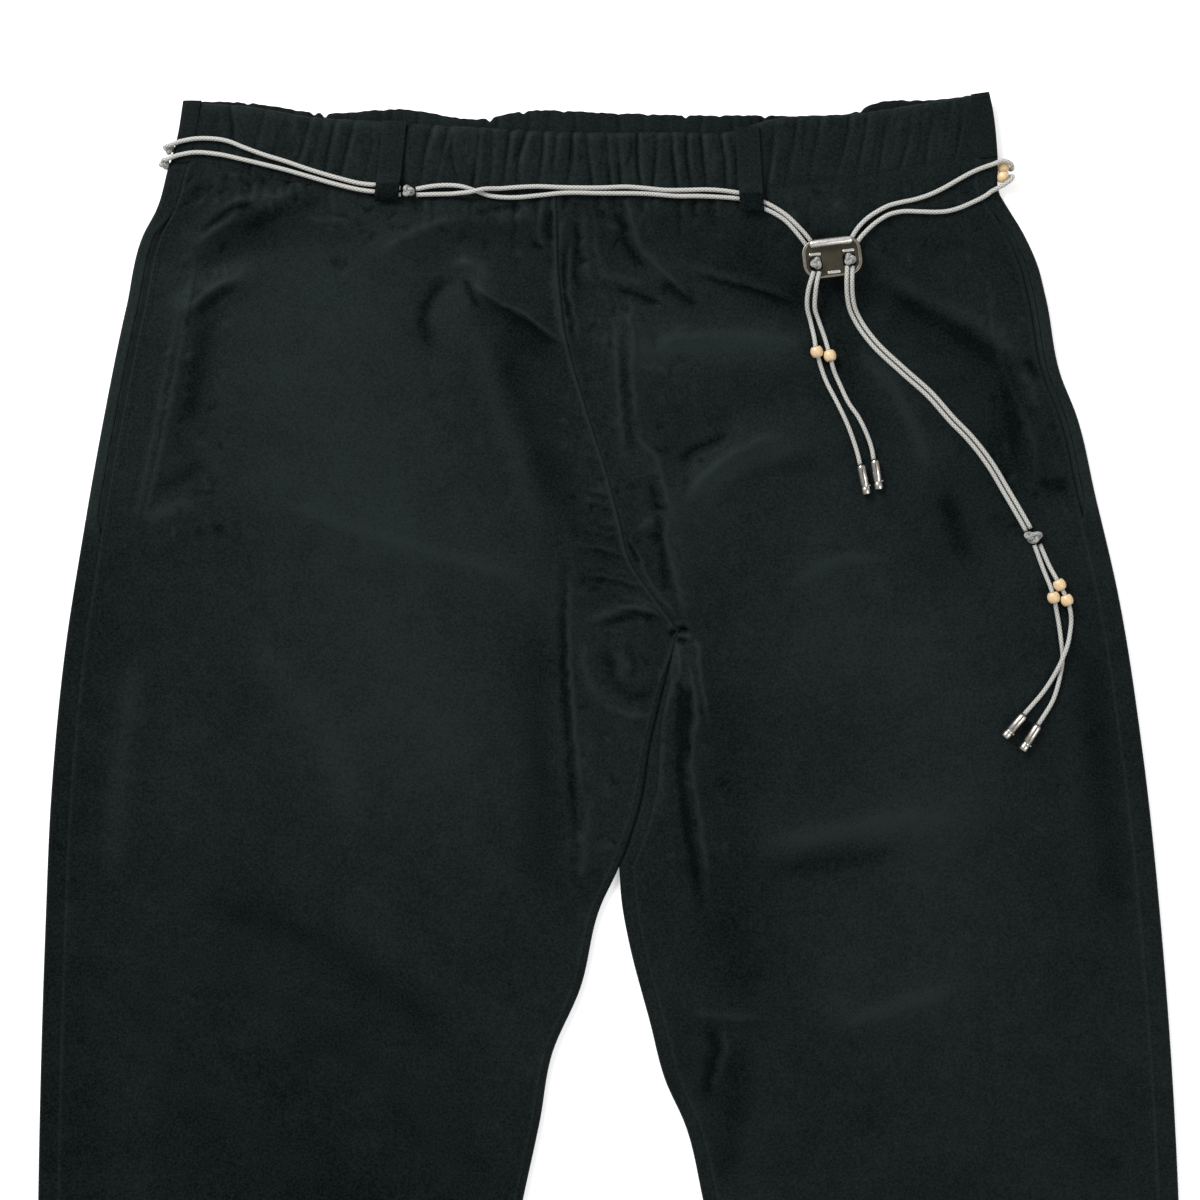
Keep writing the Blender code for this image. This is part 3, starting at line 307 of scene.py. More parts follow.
# %% Finer creases of the front
CREASES = (
    ("hip line", 1.0, 1.5, ((-196, 49), (-187.5, 44), (-175, 41), (-162.5, 41), (-154, 39.5))),
    ("hip line below", 1.1, 1.5, ((-208, 65), (-201, 61), (-192.5, 55.5), (-184, 50.5))),
    ("hip line between", -1.1, 2.0, ((-204, 61), (-192.5, 50.5), (-185, 47), (-176, 45))),
    ("hip line shade", -0.9, 4.0, ((-188, 60), (-178, 55), (-165, 49), (-150, 44), (-138, 43))),
    ("pocket line", 1.5, 1.5, ((-216, 98), (-211, 97.5), (-202.5, 90), (-192.5, 84), (-182, 80))),
    ("pocket line shade", -1.1, 3.2, ((-209, 103), (-203, 96), (-193, 89), (-184, 84.5))),
    ("short waist line", 0.9, 1.5, ((-152, 52.5), (-142, 53.5), (-131, 53))),
    ("waist curve line", 0.9, 2.0, ((-118, 72), (-107, 65), (-96.5, 59), (-86, 55), (-70, 51))),
    ("waist curve end", -1.0, 1.6, ((-72, 50.5), (-63, 49), (-50, 46.5), (-36, 45))),
    ("waist curve step", 0.7, 3.0, ((-60, 55), (-46, 52), (-34, 50))),
    ("dimple", -0.8, 3.0, ((-139, 70), (-135, 76), (-130, 73))),
    ("hook top", 0.9, 2.2, ((-80, 77), (-72, 74), (-65, 76), (-58, 82))),
    ("hook hollow", -1.2, 3.2, ((-75, 81), (-82, 83), (-90, 92), (-93.5, 101), (-91, 112), (-88, 122))),
    ("hook mark", -1.4, 1.8, ((-74, 82), (-70.5, 88), (-66, 98))),
    ("diagonal line", 1.5, 1.4,
     ((-73, 84), (-65, 88), (-55, 94), (-42.5, 100), (-32.5, 107.5), (-20, 115.5))),
    ("diagonal shade", -0.9, 3.5, ((-68, 88), (-50, 99), (-36, 108), (-24, 119))),
    ("thigh boundary", 0.5, 7.0, ((-67, 100), (-61, 130), (-50, 160), (-38, 200), (-32, 220))),
    ("thigh dip", -0.5, 8.0, ((-54, 105), (-48, 135), (-36, 170), (-26, 205))),
    ("inner line", 1.1, 1.2,
     ((-17.5, 213), (-19.5, 235), (-20.5, 256), (-19.5, 279), (-17, 310), (-13, 350))),
    ("inner shade", -1.2, 2.2, ((-21.5, 215), (-23.5, 254), (-23, 279), (-21, 310), (-18, 350), (-15, 380))),
    ("inner shade wide", -0.5, 9.0, ((-30, 240), (-36, 300), (-34, 360), (-38, 400))),
    ("inner second", 0.6, 1.8, ((-8, 335), (-12, 360), (-14, 385))),
    ("slant line", 0.5, 3.5, ((-175, 190), (-150, 199), (-133, 206), (-90, 219), (-30, 235))),
    ("fly line", 1.3, 1.3, ((-24, 44), (-23.5, 55), (-25.5, 65), (-25.5, 85), (-23, 100), (-20.5, 113))),
    ("fly line left", 0.9, 1.2, ((-29, 72), (-28, 88), (-26, 101), (-22, 115))),
    ("fly line shade", -1.0, 1.3, ((-21, 62), (-22.5, 72), (-23, 84), (-20, 102), (-17, 116))),
    ("fly line right", 0.9, 1.2, ((-18.5, 58), (-20, 74), (-20, 88), (-17, 102), (-13.5, 118))),
    ("fly tuck", 1.1, 1.4, ((-32.5, 43), (-35, 53), (-35.5, 62), (-31, 71))),
    ("fly tuck mark", -1.5, 1.1, ((-40, 64.5), (-36, 66), (-32, 67.5))),
    ("fly tuck shade", -1.0, 2.0, ((-29, 46), (-30.5, 56), (-30, 66))),
    ("fly tuck right", -0.8, 1.6, ((-18, 44), (-16.5, 60), (-17, 78), (-14, 94))),
    ("fly fold", 0.8, 1.8, ((-12, 46), (-12.5, 62), (-11, 76), (-6, 88))),
    ("fly fold end", 0.7, 1.6, ((-5, 48), (-7, 62), (-5, 74), (2, 82))),
    ("crotch line one", 1.3, 1.3, ((1.5, 98), (2.5, 106), (3.3, 129), (5, 151), (7, 175))),
    ("crotch line two", 1.3, 1.3,
     ((15, 93), (10, 100), (11.7, 109), (12.5, 118), (10.8, 129), (12.5, 139), (13, 157))),
    ("crotch line two shade", -0.9, 1.8, ((8, 98), (7, 120), (9, 150), (12, 176))),
    ("crotch line three", 1.4, 1.4, ((11, 158), (18, 167), (23.5, 171), (26, 181), (30, 196), (35, 209))),
    ("crotch line four", 1.2, 1.4, ((28, 197), (28.5, 214), (33, 232), (36, 244), (38.5, 256))),
    ("crotch hook", 1.0, 1.6, ((13, 209), (16, 205.5), (22, 202.5), (24, 197))),
    ("second seam line", 1.2, 1.1, ((8.5, 209), (15, 223), (21.5, 236), (31, 248), (36, 254))),
    ("between seam lines", -1.5, 1.0, ((9, 213), (12, 219), (15, 226))),
    ("crotch line three shade", -1.1, 2.0, ((19, 175), (22, 190), (24, 206), (28, 232), (32, 246))),
    ("waist line left", 1.4, 1.5, ((9, 43), (11, 54), (16.5, 68), (26, 78), (35, 86), (44, 95))),
    ("waist line left shade", -1.1, 2.2, ((4, 46), (6, 58), (11, 70), (20, 79))),
    ("waist dark", -1.4, 3.6, ((24, 82), (33, 88), (40, 93), (44, 99))),
    ("tucked line", -1.7, 1.1, ((2, 87), (9, 88.5), (17, 91.5), (28, 95))),
    ("tucked line step", 0.7, 2.4, ((-8, 80), (6, 82), (20, 86))),
    ("long line", -1.8, 1.1, ((40, 78), (55, 83), (73, 88), (84, 92), (96, 97))),
    ("long line step", 0.8, 3.0, ((30, 72), (50, 79), (74, 85), (96, 92))),
    ("hip light", 1.0, 4.0, ((13, 119), (30, 115), (60, 112), (100, 115))),
    ("hip light rim", 1.0, 1.5, ((25, 113.5), (38, 111.5), (52, 112.5))),
    ("hip light edge", 0.7, 1.8, ((12, 124), (24, 128), (40, 126))),
    ("arch dip", -1.5, 2.6, ((34, 175), (42, 168), (51.5, 164), (60, 159))),
    ("arch line", 1.3, 2.4, ((36.5, 197), (43, 187), (54, 176), (70, 166), (92, 158))),
    ("arch light", 0.7, 6.0, ((42, 194), (56, 182), (76, 172), (104, 166))),
    ("arch spread", -0.5, 5.0, ((50, 196), (66, 182), (90, 175), (112, 176))),
    ("low thigh line", 0.6, 3.0, ((86, 239), (99, 230), (112, 223.5), (128, 222), (143, 224))),
    ("pouch left", 0.9, 2.4, ((-13, 262), (-12, 276), (-8, 288), (-2, 294))),
    ("pouch bottom", 1.4, 1.5,
     ((-3, 294), (5, 299), (15, 301), (23, 299), (26, 292.5), (29.5, 279), (29, 262))),
    ("pouch top", 1.1, 1.6, ((-15, 255), (0, 249), (12.5, 246), (27, 249))),
    ("pouch top shade", -1.3, 2.0, ((-6, 256), (6, 252), (16, 251), (26, 254))),
    ("pouch light", 0.6, 3.6, ((4, 266), (6, 276), (4, 288))),
    ("pouch shade", -0.9, 3.5, ((-4, 262), (0, 276), (6, 288), (14, 292), (20, 280))),
    ("pouch dent", -0.7, 2.2, ((8, 262), (11, 272), (12, 284))),
    ("crotch fold line", 1.3, 1.3, ((41, 257.5), (45, 269), (45.5, 282), (48, 294), (49, 308))),
    ("left inner line", 1.0, 1.4, ((37, 272), (43, 297), (40.5, 322), (44, 345), (48, 376), (50, 400))),
    ("left inner shade", -1.1, 2.6, ((32, 272), (37, 297), (35, 325), (38, 352), (43, 382), (45, 410))),
    ("left inner second", 0.7, 1.4, ((28, 300), (26, 330), (27, 350))),
    ("knot edge", 1.1, 1.8, ((33, 262), (35, 276), (38, 290))),
    ("crotch pinch", -3.2, 1.2, ((28.5, 260), (31.5, 258.8), (35, 258), (40, 256.8))),
    ("crotch pinch below", -2.4, 1.0, ((31, 262.5), (35, 262.5), (38, 264))),
    ("crotch pinch rim", 1.5, 1.1, ((27.5, 256.5), (32, 255), (37, 254))),
    ("crotch rim above", 1.2, 1.1, ((34, 260.5), (38, 260.5), (42, 262))),
    ("crotch drag one", 1.2, 1.2, ((37.5, 267), (34, 280), (29, 294), (25, 305))),
    ("crotch drag two", -0.9, 1.4, ((37, 263), (36.5, 278), (35, 296), (32, 315))),
    ("crotch drag three", 1.3, 1.2, ((39, 273), (42.5, 289), (44, 300), (42.5, 314))),
    ("crotch drag four", -1.1, 1.4, ((40, 280), (39.5, 292), (38, 310), (40, 330))),
    ("inner leg cap", 1.0, 1.8, ((37, 449), (46, 449.5), (58, 451), (78, 451))),
    ("inner leg hollow", -1.0, 3.0, ((46, 455), (52, 464), (50, 478), (46, 496))),
    ("inner leg return", 0.8, 1.6, ((56, 455), (58, 466), (55, 478), (50, 492))),
    ("inner leg dark", -0.6, 8.0, ((60, 462), (64, 480), (60, 510), (58, 540))),
    ("knee light", 0.8, 5.0, ((70, 367), (95, 362), (130, 356), (176, 350))),
    ("knee light edge", -0.6, 5.0, ((76, 378), (110, 374), (150, 368))),
    ("outer knee line", 0.7, 4.0, ((112, 455), (127, 451), (146, 445), (176, 437))),
    ("lock trough", -0.9, 4.0,
     ((128, 82), (145, 91), (162.5, 101.5), (182, 114), (197, 126), (201, 145), (204, 183))),
    ("lock ridge", 0.7, 4.0, ((132, 76), (152, 88), (172, 98), (196, 112), (208, 126))),
    ("hip slope line", 0.8, 3.5, ((130, 118), (140, 132), (148, 148), (156, 166), (159, 182))),
    ("hip slope second", 0.6, 2.6, ((124, 112), (130, 124), (140, 140))),
    ("thigh band edge", -0.8, 5.0, ((166, 184), (171, 200), (180, 226))),
    ("pocket trough line", -0.6, 4.5, ((-203, 100), (-204, 116), (-207, 132), (-214, 160))),
    ("bag edge", 0.9, 1.5,
     ((-206, 63), (-209, 82), (-212.5, 102), (-216, 123), (-223, 160), (-233, 200), (-239, 218))),
    ("bag edge outer", 0.8, 1.5,
     ((-213, 80), (-217.5, 107), (-221, 124), (-229, 165), (-238, 205), (-242, 219))),
    ("bag edge left", 0.7, 1.8, ((189, 72), (195, 120), (205, 146), (212, 162), (215, 190))),
    ("pocket low light", 0.8, 3.6, ((-236, 203), (-222, 199), (-206, 192))),
    ("pocket low shade", -0.7, 4.5, ((-230, 188), (-215, 182), (-200, 172))),
    ("pocket pinch", -1.0, 2.4, ((206, 121), (214, 128), (219, 133))),
    ("pocket pinch light", 0.8, 2.2, ((205, 127), (211, 136), (214, 148))),
    ("pocket foot right", -0.8, 2.6, ((213, 182), (222, 186), (232, 188))),
    ("side slope left", 0.6, 6.0, ((-235, 260), (-245, 330), (-250, 400))),
    ("side slope right", -0.6, 8.0, ((236, 250), (246, 330), (255, 420))),
    ("thigh sweep", 0.4, 9.0, ((-190, 250), (-150, 300), (-120, 370))),
    ("thigh sweep low", -0.4, 10.0, ((-230, 380), (-180, 400), (-120, 430), (-70, 480))),
    ("shin sweep right", 0.6, 6.0, ((-220, 560), (-170, 590), (-110, 600), (-70, 580))),
    ("shin trough right", -0.7, 6.0, ((-240, 620), (-190, 660), (-130, 680))),
    ("shin line right", 0.7, 3.5, ((-120, 700), (-160, 730), (-215, 742))),
    ("shin line right low", 0.7, 4.0, ((-110, 810), (-150, 830), (-200, 822))),
    ("cuff line right", -0.6, 5.0, ((-240, 880), (-190, 905), (-130, 912))),
    ("cuff ridge right", 0.7, 4.0, ((-250, 930), (-200, 945), (-150, 940), (-110, 926))),
    ("shin sweep left", 0.6, 6.0, ((80, 560), (120, 585), (170, 590), (230, 570))),
    ("shin trough left", -0.7, 6.0, ((90, 640), (140, 660), (210, 655))),
    ("shin line left", 0.7, 3.5, ((130, 700), (170, 716), (230, 712))),
    ("shin line left low", 0.7, 4.0, ((100, 800), (150, 822), (200, 830))),
    ("cuff line left", -0.6, 5.0, ((120, 890), (180, 905), (240, 896))),
    ("cuff ridge left", 0.7, 4.0, ((110, 935), (160, 948), (210, 944), (258, 930))),
)

# %% Short puckers beside the centre seam: rows of (down, length, height)
SEAM_PUCKERS = (
    (127, 6, 0.3), (151, 7, 0.3), (172, 8, 0.5), (181, 6, 0.3), (190, 12, 0.7), (196, 15, 0.5),
    (206, 11, 0.7), (211, 20, 0.4), (220, 24, 0.8), (231, 17, 0.5), (236, 30, 0.8), (246, 22, 0.5),
    (251, 26, 0.7),
)


def beside_centre_seam(rows):
    made = []
    for down, length, height in rows:
        start = float(centre_seam(down)) - 1.2
        half = (start - 0.5 * length, down - 0.16 * length)
        path = ((start, down), half, (start - length, down - 0.22 * length))
        made.append(("seam pucker", height, 1.1, path))
        under = tuple((x, d + 2.6) for x, d in path)
        made.append(("seam pucker shade", -0.7 * height, 1.3, under))
    return tuple(made)


CREASES += beside_centre_seam(SEAM_PUCKERS)

# %% Small rumples, closest together where the cloth is drawn in: rows of (left, right, top, bottom, how many)
RUMPLED = (
    (-212, -150, 26, 46, 60), (-150, -60, 40, 62, 40), (-60, 60, 42, 74, 45), (60, 190, 34, 70, 50),
    (-222, -190, 60, 210, 60), (190, 232, 60, 210, 60), (-24, 44, 84, 262, 140), (-20, 60, 262, 380, 90),
    (-190, -30, 70, 260, 50), (50, 190, 80, 260, 60), (-270, 270, 260, 545, 110), (-270, 270, 545, 980, 70),
)


def rumples_in(rows, seed):
    """Short, shallow ridges and hollows at random places and in random directions."""
    random = np.random.default_rng(seed)
    made = []
    for left, right, top, bottom, count in rows:
        size = 1.0 if (right - left) * (bottom - top) < 200 * count else 1.8
        for _ in range(count):
            x, d = random.uniform(left, right), random.uniform(top, bottom)
            turn, length = random.uniform(0, math.pi), size * random.uniform(5, 11)
            end = (x + length * math.cos(turn), d + length * math.sin(turn))
            height = random.uniform(-0.7, 0.7) / size**2
            made.append(("rumple", height, size * random.uniform(0.8, 1.6), ((x, d), end)))
    return tuple(made)


RUMPLES = rumples_in(RUMPLED, 3)

# %% Creases of the back, which lies on the surface
BACK_CREASES = (
    ("seat fold right", 0.9, 7.0, ((-190, 90), (-140, 130), (-80, 150), (-30, 148))),
    ("seat fold left", 0.9, 7.0, ((170, 84), (120, 124), (70, 146), (10, 150))),
    ("seat drag right", 0.8, 5.0, ((-30, 230), (-80, 200), (-150, 190))),
    ("seat drag left", 0.8, 5.0, ((30, 236), (90, 206), (160, 190))),
    ("back knee right", 0.9, 6.0, ((-240, 400), (-160, 420), (-60, 400))),
    ("back knee left", 0.9, 6.0, ((240, 410), (150, 424), (60, 404))),
    ("back calf right", 0.8, 7.0, ((-230, 600), (-170, 640), (-90, 640))),
    ("back calf left", 0.8, 7.0, ((230, 620), (160, 650), (90, 630))),
    ("back cuff right", 0.7, 6.0, ((-250, 860), (-190, 880), (-120, 860))),
    ("back cuff left", 0.7, 6.0, ((250, 850), (180, 874), (120, 850))),
)

# %% Read a table of folds on a grid


def along_line(line, across, down):
    """Distance of each point from a line of places, and the share of its length there."""
    steps = np.linalg.norm(np.diff(line, axis=0), axis=1)
    start = np.concatenate([[0], np.cumsum(steps)])
    nearest = np.full(across.shape, np.inf)
    share = np.zeros(across.shape)
    for k, (a, b) in enumerate(zip(line, line[1:])):
        u, v = b - a
        t = np.clip(((across - a[0]) * u + (down - a[1]) * v) / (steps[k] ** 2), 0, 1)
        gap = np.hypot(across - a[0] - t * u, down - a[1] - t * v)
        closer = gap < nearest
        nearest = np.where(closer, gap, nearest)
        share = np.where(closer, (start[k] + t * steps[k]) / start[-1], share)
    return nearest, share


def curved(path, spacing=4.0):
    """Places close together on the smooth curve through a path's own."""
    path = np.array(path, float)
    along = lengths_along(path)
    at = np.linspace(0, along[-1], max(int(along[-1] / spacing), 2) + 1)
    return np.stack([through(list(zip(along, column)))(at) for column in path.T], axis=1)


def creases_at(table, across, down, fade=0.0):
    """Sum of a table's ridges and troughs. With fade, each dies out over that share of its length."""
    total = np.zeros(across.shape)
    for _, height, half, path in table:
        line = curved(path)
        low, high = line.min(0) - 3 * half, line.max(0) + 3 * half
        near = (across > low[0]) & (across < high[0]) & (down > low[1]) & (down < high[1])
        if not near.any():
            continue
        gap, share = along_line(line, across[near], down[near])
        strength = ease(share / fade) * ease((1 - share) / fade) if fade else 1.0
        total[near] += height * strength * np.exp(-((gap / half) ** 2))
    return total


print("folds:", len(FOLDS), "creases:", len(CREASES) + len(BACK_CREASES))

# %% [markdown]
# ## The cloth
#
# A light, smooth, black cloth with a faint green cast and a silky sheen. It could be one dark colour, but
# real black cloth shows its weave, small slubs and soft rumples. Here the colour comes from two noises, for
# the slubs and the mottle, and from painted light and shade kept on the points: paler places and ridges,
# darker places and troughs. The weave and the rumples are bump, and the sheen is set on the shader. Its
# coordinates are the piece's own, so the pattern needs no unwrapping.

# %% Small helpers for node materials


def new_material(name, roughness, metallic=0.0, **values):
    """A material with its node tree and shader, and values for the shader's other sockets by name."""
    made = bpy.data.materials.new(name)
    made.use_nodes = True
    shader = made.node_tree.nodes["Principled BSDF"]
    values = {"Roughness": roughness, "Metallic": metallic, **values}
    for socket, value in values.items():
        shader.inputs[socket.replace("_", " ")].default_value = value
    return made, made.node_tree, shader


def node(tree, kind, **values):
    """A node with its settings, and its sockets' values by name."""
    made = tree.nodes.new(kind)
    for name, value in values.items():
        if hasattr(made, name):
            setattr(made, name, value)
        else:
            made.inputs[name.replace("_", " ").title()].default_value = value
    return made


def math_node(tree, operation, *terms):
    made = tree.nodes.new("ShaderNodeMath")
    made.operation = operation
    for socket, term in zip(made.inputs, terms):
        if isinstance(term, (int, float)):
            socket.default_value = term
        else:
            tree.links.new(term, socket)
    return made.outputs[0]


def noise(tree, coordinates, scale, detail=2.0, roughness=0.5):
    made = node(tree, "ShaderNodeTexNoise", scale=scale, detail=detail, roughness=roughness)
    tree.links.new(coordinates, made.inputs["Vector"])
    return made.outputs["Fac"]


def clamped(tree, value):
    return math_node(tree, "MINIMUM", math_node(tree, "MAXIMUM", value, 0.0), 1.0)


def coordinates(tree, kind="Object"):
    return tree.nodes.new("ShaderNodeTexCoord").outputs[kind]


def mixed(tree, factor, first, second):
    made = tree.nodes.new("ShaderNodeMix")
    made.data_type = "RGBA"
    tree.links.new(factor, made.inputs["Factor"])
    for socket, colour in (("A", first), ("B", second)):
        target = [s for s in made.inputs if s.name == socket and s.type == "RGBA"][0]
        if isinstance(colour, tuple):
            target.default_value = (*colour, 1)
        else:
            tree.links.new(colour, target)
    return [s for s in made.outputs if s.type == "RGBA"][0]


def bumped(tree, shader, *heights):
    """Bump of one or more (height, strength, distance), each on top of the last."""
    normal = None
    for height, strength, distance in heights:
        bump = node(tree, "ShaderNodeBump", strength=strength, distance=distance)
        tree.links.new(height, bump.inputs["Height"])
        if normal:
            tree.links.new(normal, bump.inputs["Normal"])
        normal = bump.outputs["Normal"]
    tree.links.new(normal, shader.inputs["Normal"])


# %% Black silky cloth
CLOTH_DARK, CLOTH_LIGHT = (0.0006, 0.0012, 0.0015), (0.0112, 0.0158, 0.0156)
WEAVE = 0.00042
SLUB, RUMPLE, MOTTLE, CLOUD = 900.0, 130.0, 75.0, 20.0


def cloth_material():
    made, tree, shader = new_material(
        "black cloth", 0.5, Sheen_Weight=0.012, Sheen_Roughness=0.4, Sheen_Tint=(0.72, 0.9, 0.9, 1),
        Specular_IOR_Level=0.045, Specular_Tint=(0.75, 0.95, 0.95, 1),
    )
    position = coordinates(tree)
    parts = tree.nodes.new("ShaderNodeSeparateXYZ")
    tree.links.new(position, parts.inputs[0])
    threads = []
    for axis in ("X", "Y"):
        turn = math_node(tree, "MULTIPLY", parts.outputs[axis], 2 * math.pi / WEAVE)
        threads.append(math_node(tree, "SINE", turn))
    weave = math_node(tree, "MULTIPLY", *threads)
    slubs = noise(tree, position, SLUB, 4.0, 0.75)
    rumples = noise(tree, position, RUMPLE, 3.0, 0.55)
    patches, clouds = noise(tree, position, MOTTLE, 3.0, 0.6), noise(tree, position, CLOUD, 3.0)
    mottle = math_node(tree, "ADD", patches, clouds)
    # The painted light and shade kept on the points: paler where light falls on the cloth, darker in its
    # shade.
    painted_shading = node(tree, "ShaderNodeAttribute", attribute_name="painted_shading").outputs["Fac"]
    fine = math_node(tree, "MULTIPLY", math_node(tree, "SUBTRACT", slubs, 0.5), 2.3)
    broad = math_node(tree, "MULTIPLY", math_node(tree, "SUBTRACT", mottle, 1.0), 0.4)
    # The base colour mixes this painted light and shade with the slubs and the mottle, which are the cloth's
    # own.
    shade = math_node(tree, "ADD", math_node(tree, "ADD", painted_shading, fine), broad)
    tree.links.new(mixed(tree, clamped(tree, shade), CLOTH_DARK, CLOTH_LIGHT), shader.inputs["Base Color"])
    rough = math_node(tree, "ADD", math_node(tree, "MULTIPLY", rumples, 0.16), 0.5)
    tree.links.new(rough, shader.inputs["Roughness"])
    bumped(tree, shader, (rumples, 0.3, 0.0005), (slubs, 0.25, 0.00015), (weave, 0.12, 0.00005))
    return made


black_cloth = cloth_material()
print("cloth:", len(black_cloth.node_tree.nodes), "nodes")

# %% [markdown]
# ## Making a shell
#
# A panel is a grid of points, row by row down the leg, worked out all at once. The Solidify modifier gives
# it the thickness of the cloth, inwards, so that its outer face stays on the solid. A front is all seen
# from above, so most of its faces are kept for that side: its inner face is coarser and follows the creases
# only roughly. The tone is kept on the points, where the material reads it.

# %% A shell from a grid of points
shells, cut_areas = {}, {}


def grid_faces(index):
    corners = [index[:-1, :-1], index[1:, :-1], index[1:, 1:], index[:-1, 1:]]
    return np.stack(corners, axis=-1).reshape(-1, 4)


def cloth_piece(name, points, faces, painted_shading):
    made = mesh_piece(name, place(points), faces, black_cloth)
    painted = made.data.attributes.new("painted_shading", "FLOAT", "POINT")
    painted.data.foreach_set("value", np.clip(painted_shading, 0, 1))
    return made


def shell(name, points, thickness, turned_over, painted_shading):
    """A panel with the same points on both its faces."""
    faces = grid_faces(np.arange(painted_shading.size).reshape(painted_shading.shape))
    faces = faces[:, ::-1] if turned_over else faces
    made = cloth_piece(name, points.reshape(-1, 3), faces, painted_shading.reshape(-1))
    thick = made.modifiers.new("thickness", "SOLIDIFY")
    thick.thickness = thickness * MM
    thick.offset = -1
    thick.use_even_offset = False
    shells[name] = (place(points).reshape(-1, 3), faces)
    return made


def lined_shell(name, points, thickness, turned_over, painted_shading, every=10):
    """A panel whose inner face has one column for every ten, below the lowest point near it."""
    kept = np.append(np.arange(0, painted_shading.shape[1] - 1, every), painted_shading.shape[1] - 1)
    around = np.pad(points[..., 2], ((1, 1), (every, every)), mode="edge")
    lowest = np.lib.stride_tricks.sliding_window_view(around, (3, 2 * every + 1)).min(axis=(2, 3))
    inner = points[:, kept].copy()
    inner[..., 2] = lowest[:, kept] - thickness
    upper = np.arange(painted_shading.size).reshape(painted_shading.shape)
    under = painted_shading.size + np.arange(painted_shading.shape[0] * len(kept)).reshape(painted_shading.shape[0], len(kept))
    outside = grid_faces(upper)
    faces = outside.tolist() + grid_faces(under)[:, ::-1].tolist()
    first, last = np.stack([upper[:, 0], under[:, 0]], 1), np.stack([under[:, -1], upper[:, -1]], 1)
    faces += grid_faces(first)[:, ::-1].tolist() + grid_faces(last)[:, ::-1].tolist()
    for k, (start, end) in enumerate(zip(kept[:-1], kept[1:])):
        faces.append([*upper[0, start:end + 1].tolist(), int(under[0, k + 1]), int(under[0, k])])
        faces.append([*upper[-1, start:end + 1].tolist()[::-1], int(under[-1, k]), int(under[-1, k + 1])])
    if turned_over:
        faces = [face[::-1] for face in faces]
        outside = outside[:, ::-1]
    both = np.concatenate([points.reshape(-1, 3), inner.reshape(-1, 3)])
    made = cloth_piece(name, both, faces, np.concatenate([painted_shading.reshape(-1), painted_shading[:, kept].reshape(-1)]))
    shells[name] = (place(points).reshape(-1, 3), outside)
    return made


def crisp_edges(piece, columns, chosen):
    """Mark the chosen outer edges sharp, so that no dark line is shaded along them."""
    ends = np.array([edge.vertices[:] for edge in piece.data.edges])
    sharp = chosen(ends // columns, ends % columns).all(axis=1)
    piece.data.attributes.new("sharp_edge", "BOOLEAN", "EDGE").data.foreach_set("value", sharp)


def stands_for(piece, slot, *nodes):
    """The piece takes the place of these solids, and rides with the garment."""
    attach(piece, "root")
    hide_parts(*nodes)
    return piece


def area_of(points):
    """Area of a grid of points in mm, in square metres."""
    across, along = np.diff(points, axis=1)[:-1], np.diff(points, axis=0)[:, :-1]
    return float(np.linalg.norm(np.cross(across, along), axis=-1).sum()) * MM * MM


def cut_area(width, down):
    """Area of a panel spread out flat, in square metres: its width at each row, without folds or creases."""
    rows = down.mean(axis=1)
    return float(((width[1:, 0] + width[:-1, 0]) / 2 * np.diff(rows)).sum()) * MM * MM


def print_areas(pieces):
    for piece, points in pieces:
        print(piece.name, len(piece.data.polygons), "faces, area m2:", round(area_of(points), 5))


# %% [markdown]
# ## Painted light and shade
#
# Soft paler and darker places of the cloth, placed like the creases: painted light where it lies smoothed
# out, and painted shade beside the seams, the folds and towards the hem.

# %% Paler and darker places
# Rows of painted light (a positive amount, paler) and painted shade (a negative amount, darker).
PAINTED_LIGHT_AND_SHADE = (
    ("right thigh", 0.30, 60.0, ((-150, 110), (-120, 200), (-100, 300))),
    ("right hip", 0.12, 30.0, ((-130, 75), (-90, 90))),
    ("above the right pocket", -0.17, 15.0, ((-215, 44), (-195, 56), (-178, 58))),
    ("right of the boundary", -0.16, 22.0, ((-44, 108), (-36, 150), (-24, 196), (-8, 225))),
    ("beside the diagonal", -0.14, 7.0, ((-64, 97), (-50, 106), (-38, 116))),
    ("right inner leg", 0.05, 20.0, ((0, 240), (2, 320))),
    ("right shin", -0.22, 90.0, ((-160, 560), (-160, 900))),
    ("right outer edge", -0.14, 34.0, ((-262, 240), (-276, 400), (-280, 560))),
    ("beside the right pocket", -0.08, 9.0, ((-203, 98), (-203, 126), (-212, 165))),
    ("left hip light", 0.32, 13.0, ((18, 113), (60, 112), (95, 115))),
    ("left front light", 0.15, 30.0, ((60, 185), (110, 200), (100, 260))),
    ("left front dark", -0.22, 16.0, ((70, 70), (110, 110), (125, 150))),
    ("left pocket dark", -0.14, 14.0, ((150, 100), (185, 125), (196, 165), (205, 200))),
    ("left thigh light", 0.15, 40.0, ((150, 260), (160, 340), (130, 430))),
    ("left inner dark", -0.20, 20.0, ((60, 300), (58, 370), (66, 430))),
    ("left shin", -0.08, 80.0, ((180, 560), (180, 900))),
    ("left outer leg", 0.08, 40.0, ((130, 280), (180, 400), (200, 520))),
    ("beside the left belt loop", 0.12, 12.0, ((88, 36), (104, 40))),
)


def painted_shading_at(across, down):
    return 0.48 + creases_at(PAINTED_LIGHT_AND_SHADE, across, down)


# %% [markdown]
# ## Gathers
#
# The elastic draws the waist in, so its casing stands in many small upright gathers. Each crease between
# them has its own place, lean and depth. The gather bulges between two creases, and each crease runs on
# into the panel below it as a pucker that fades out.

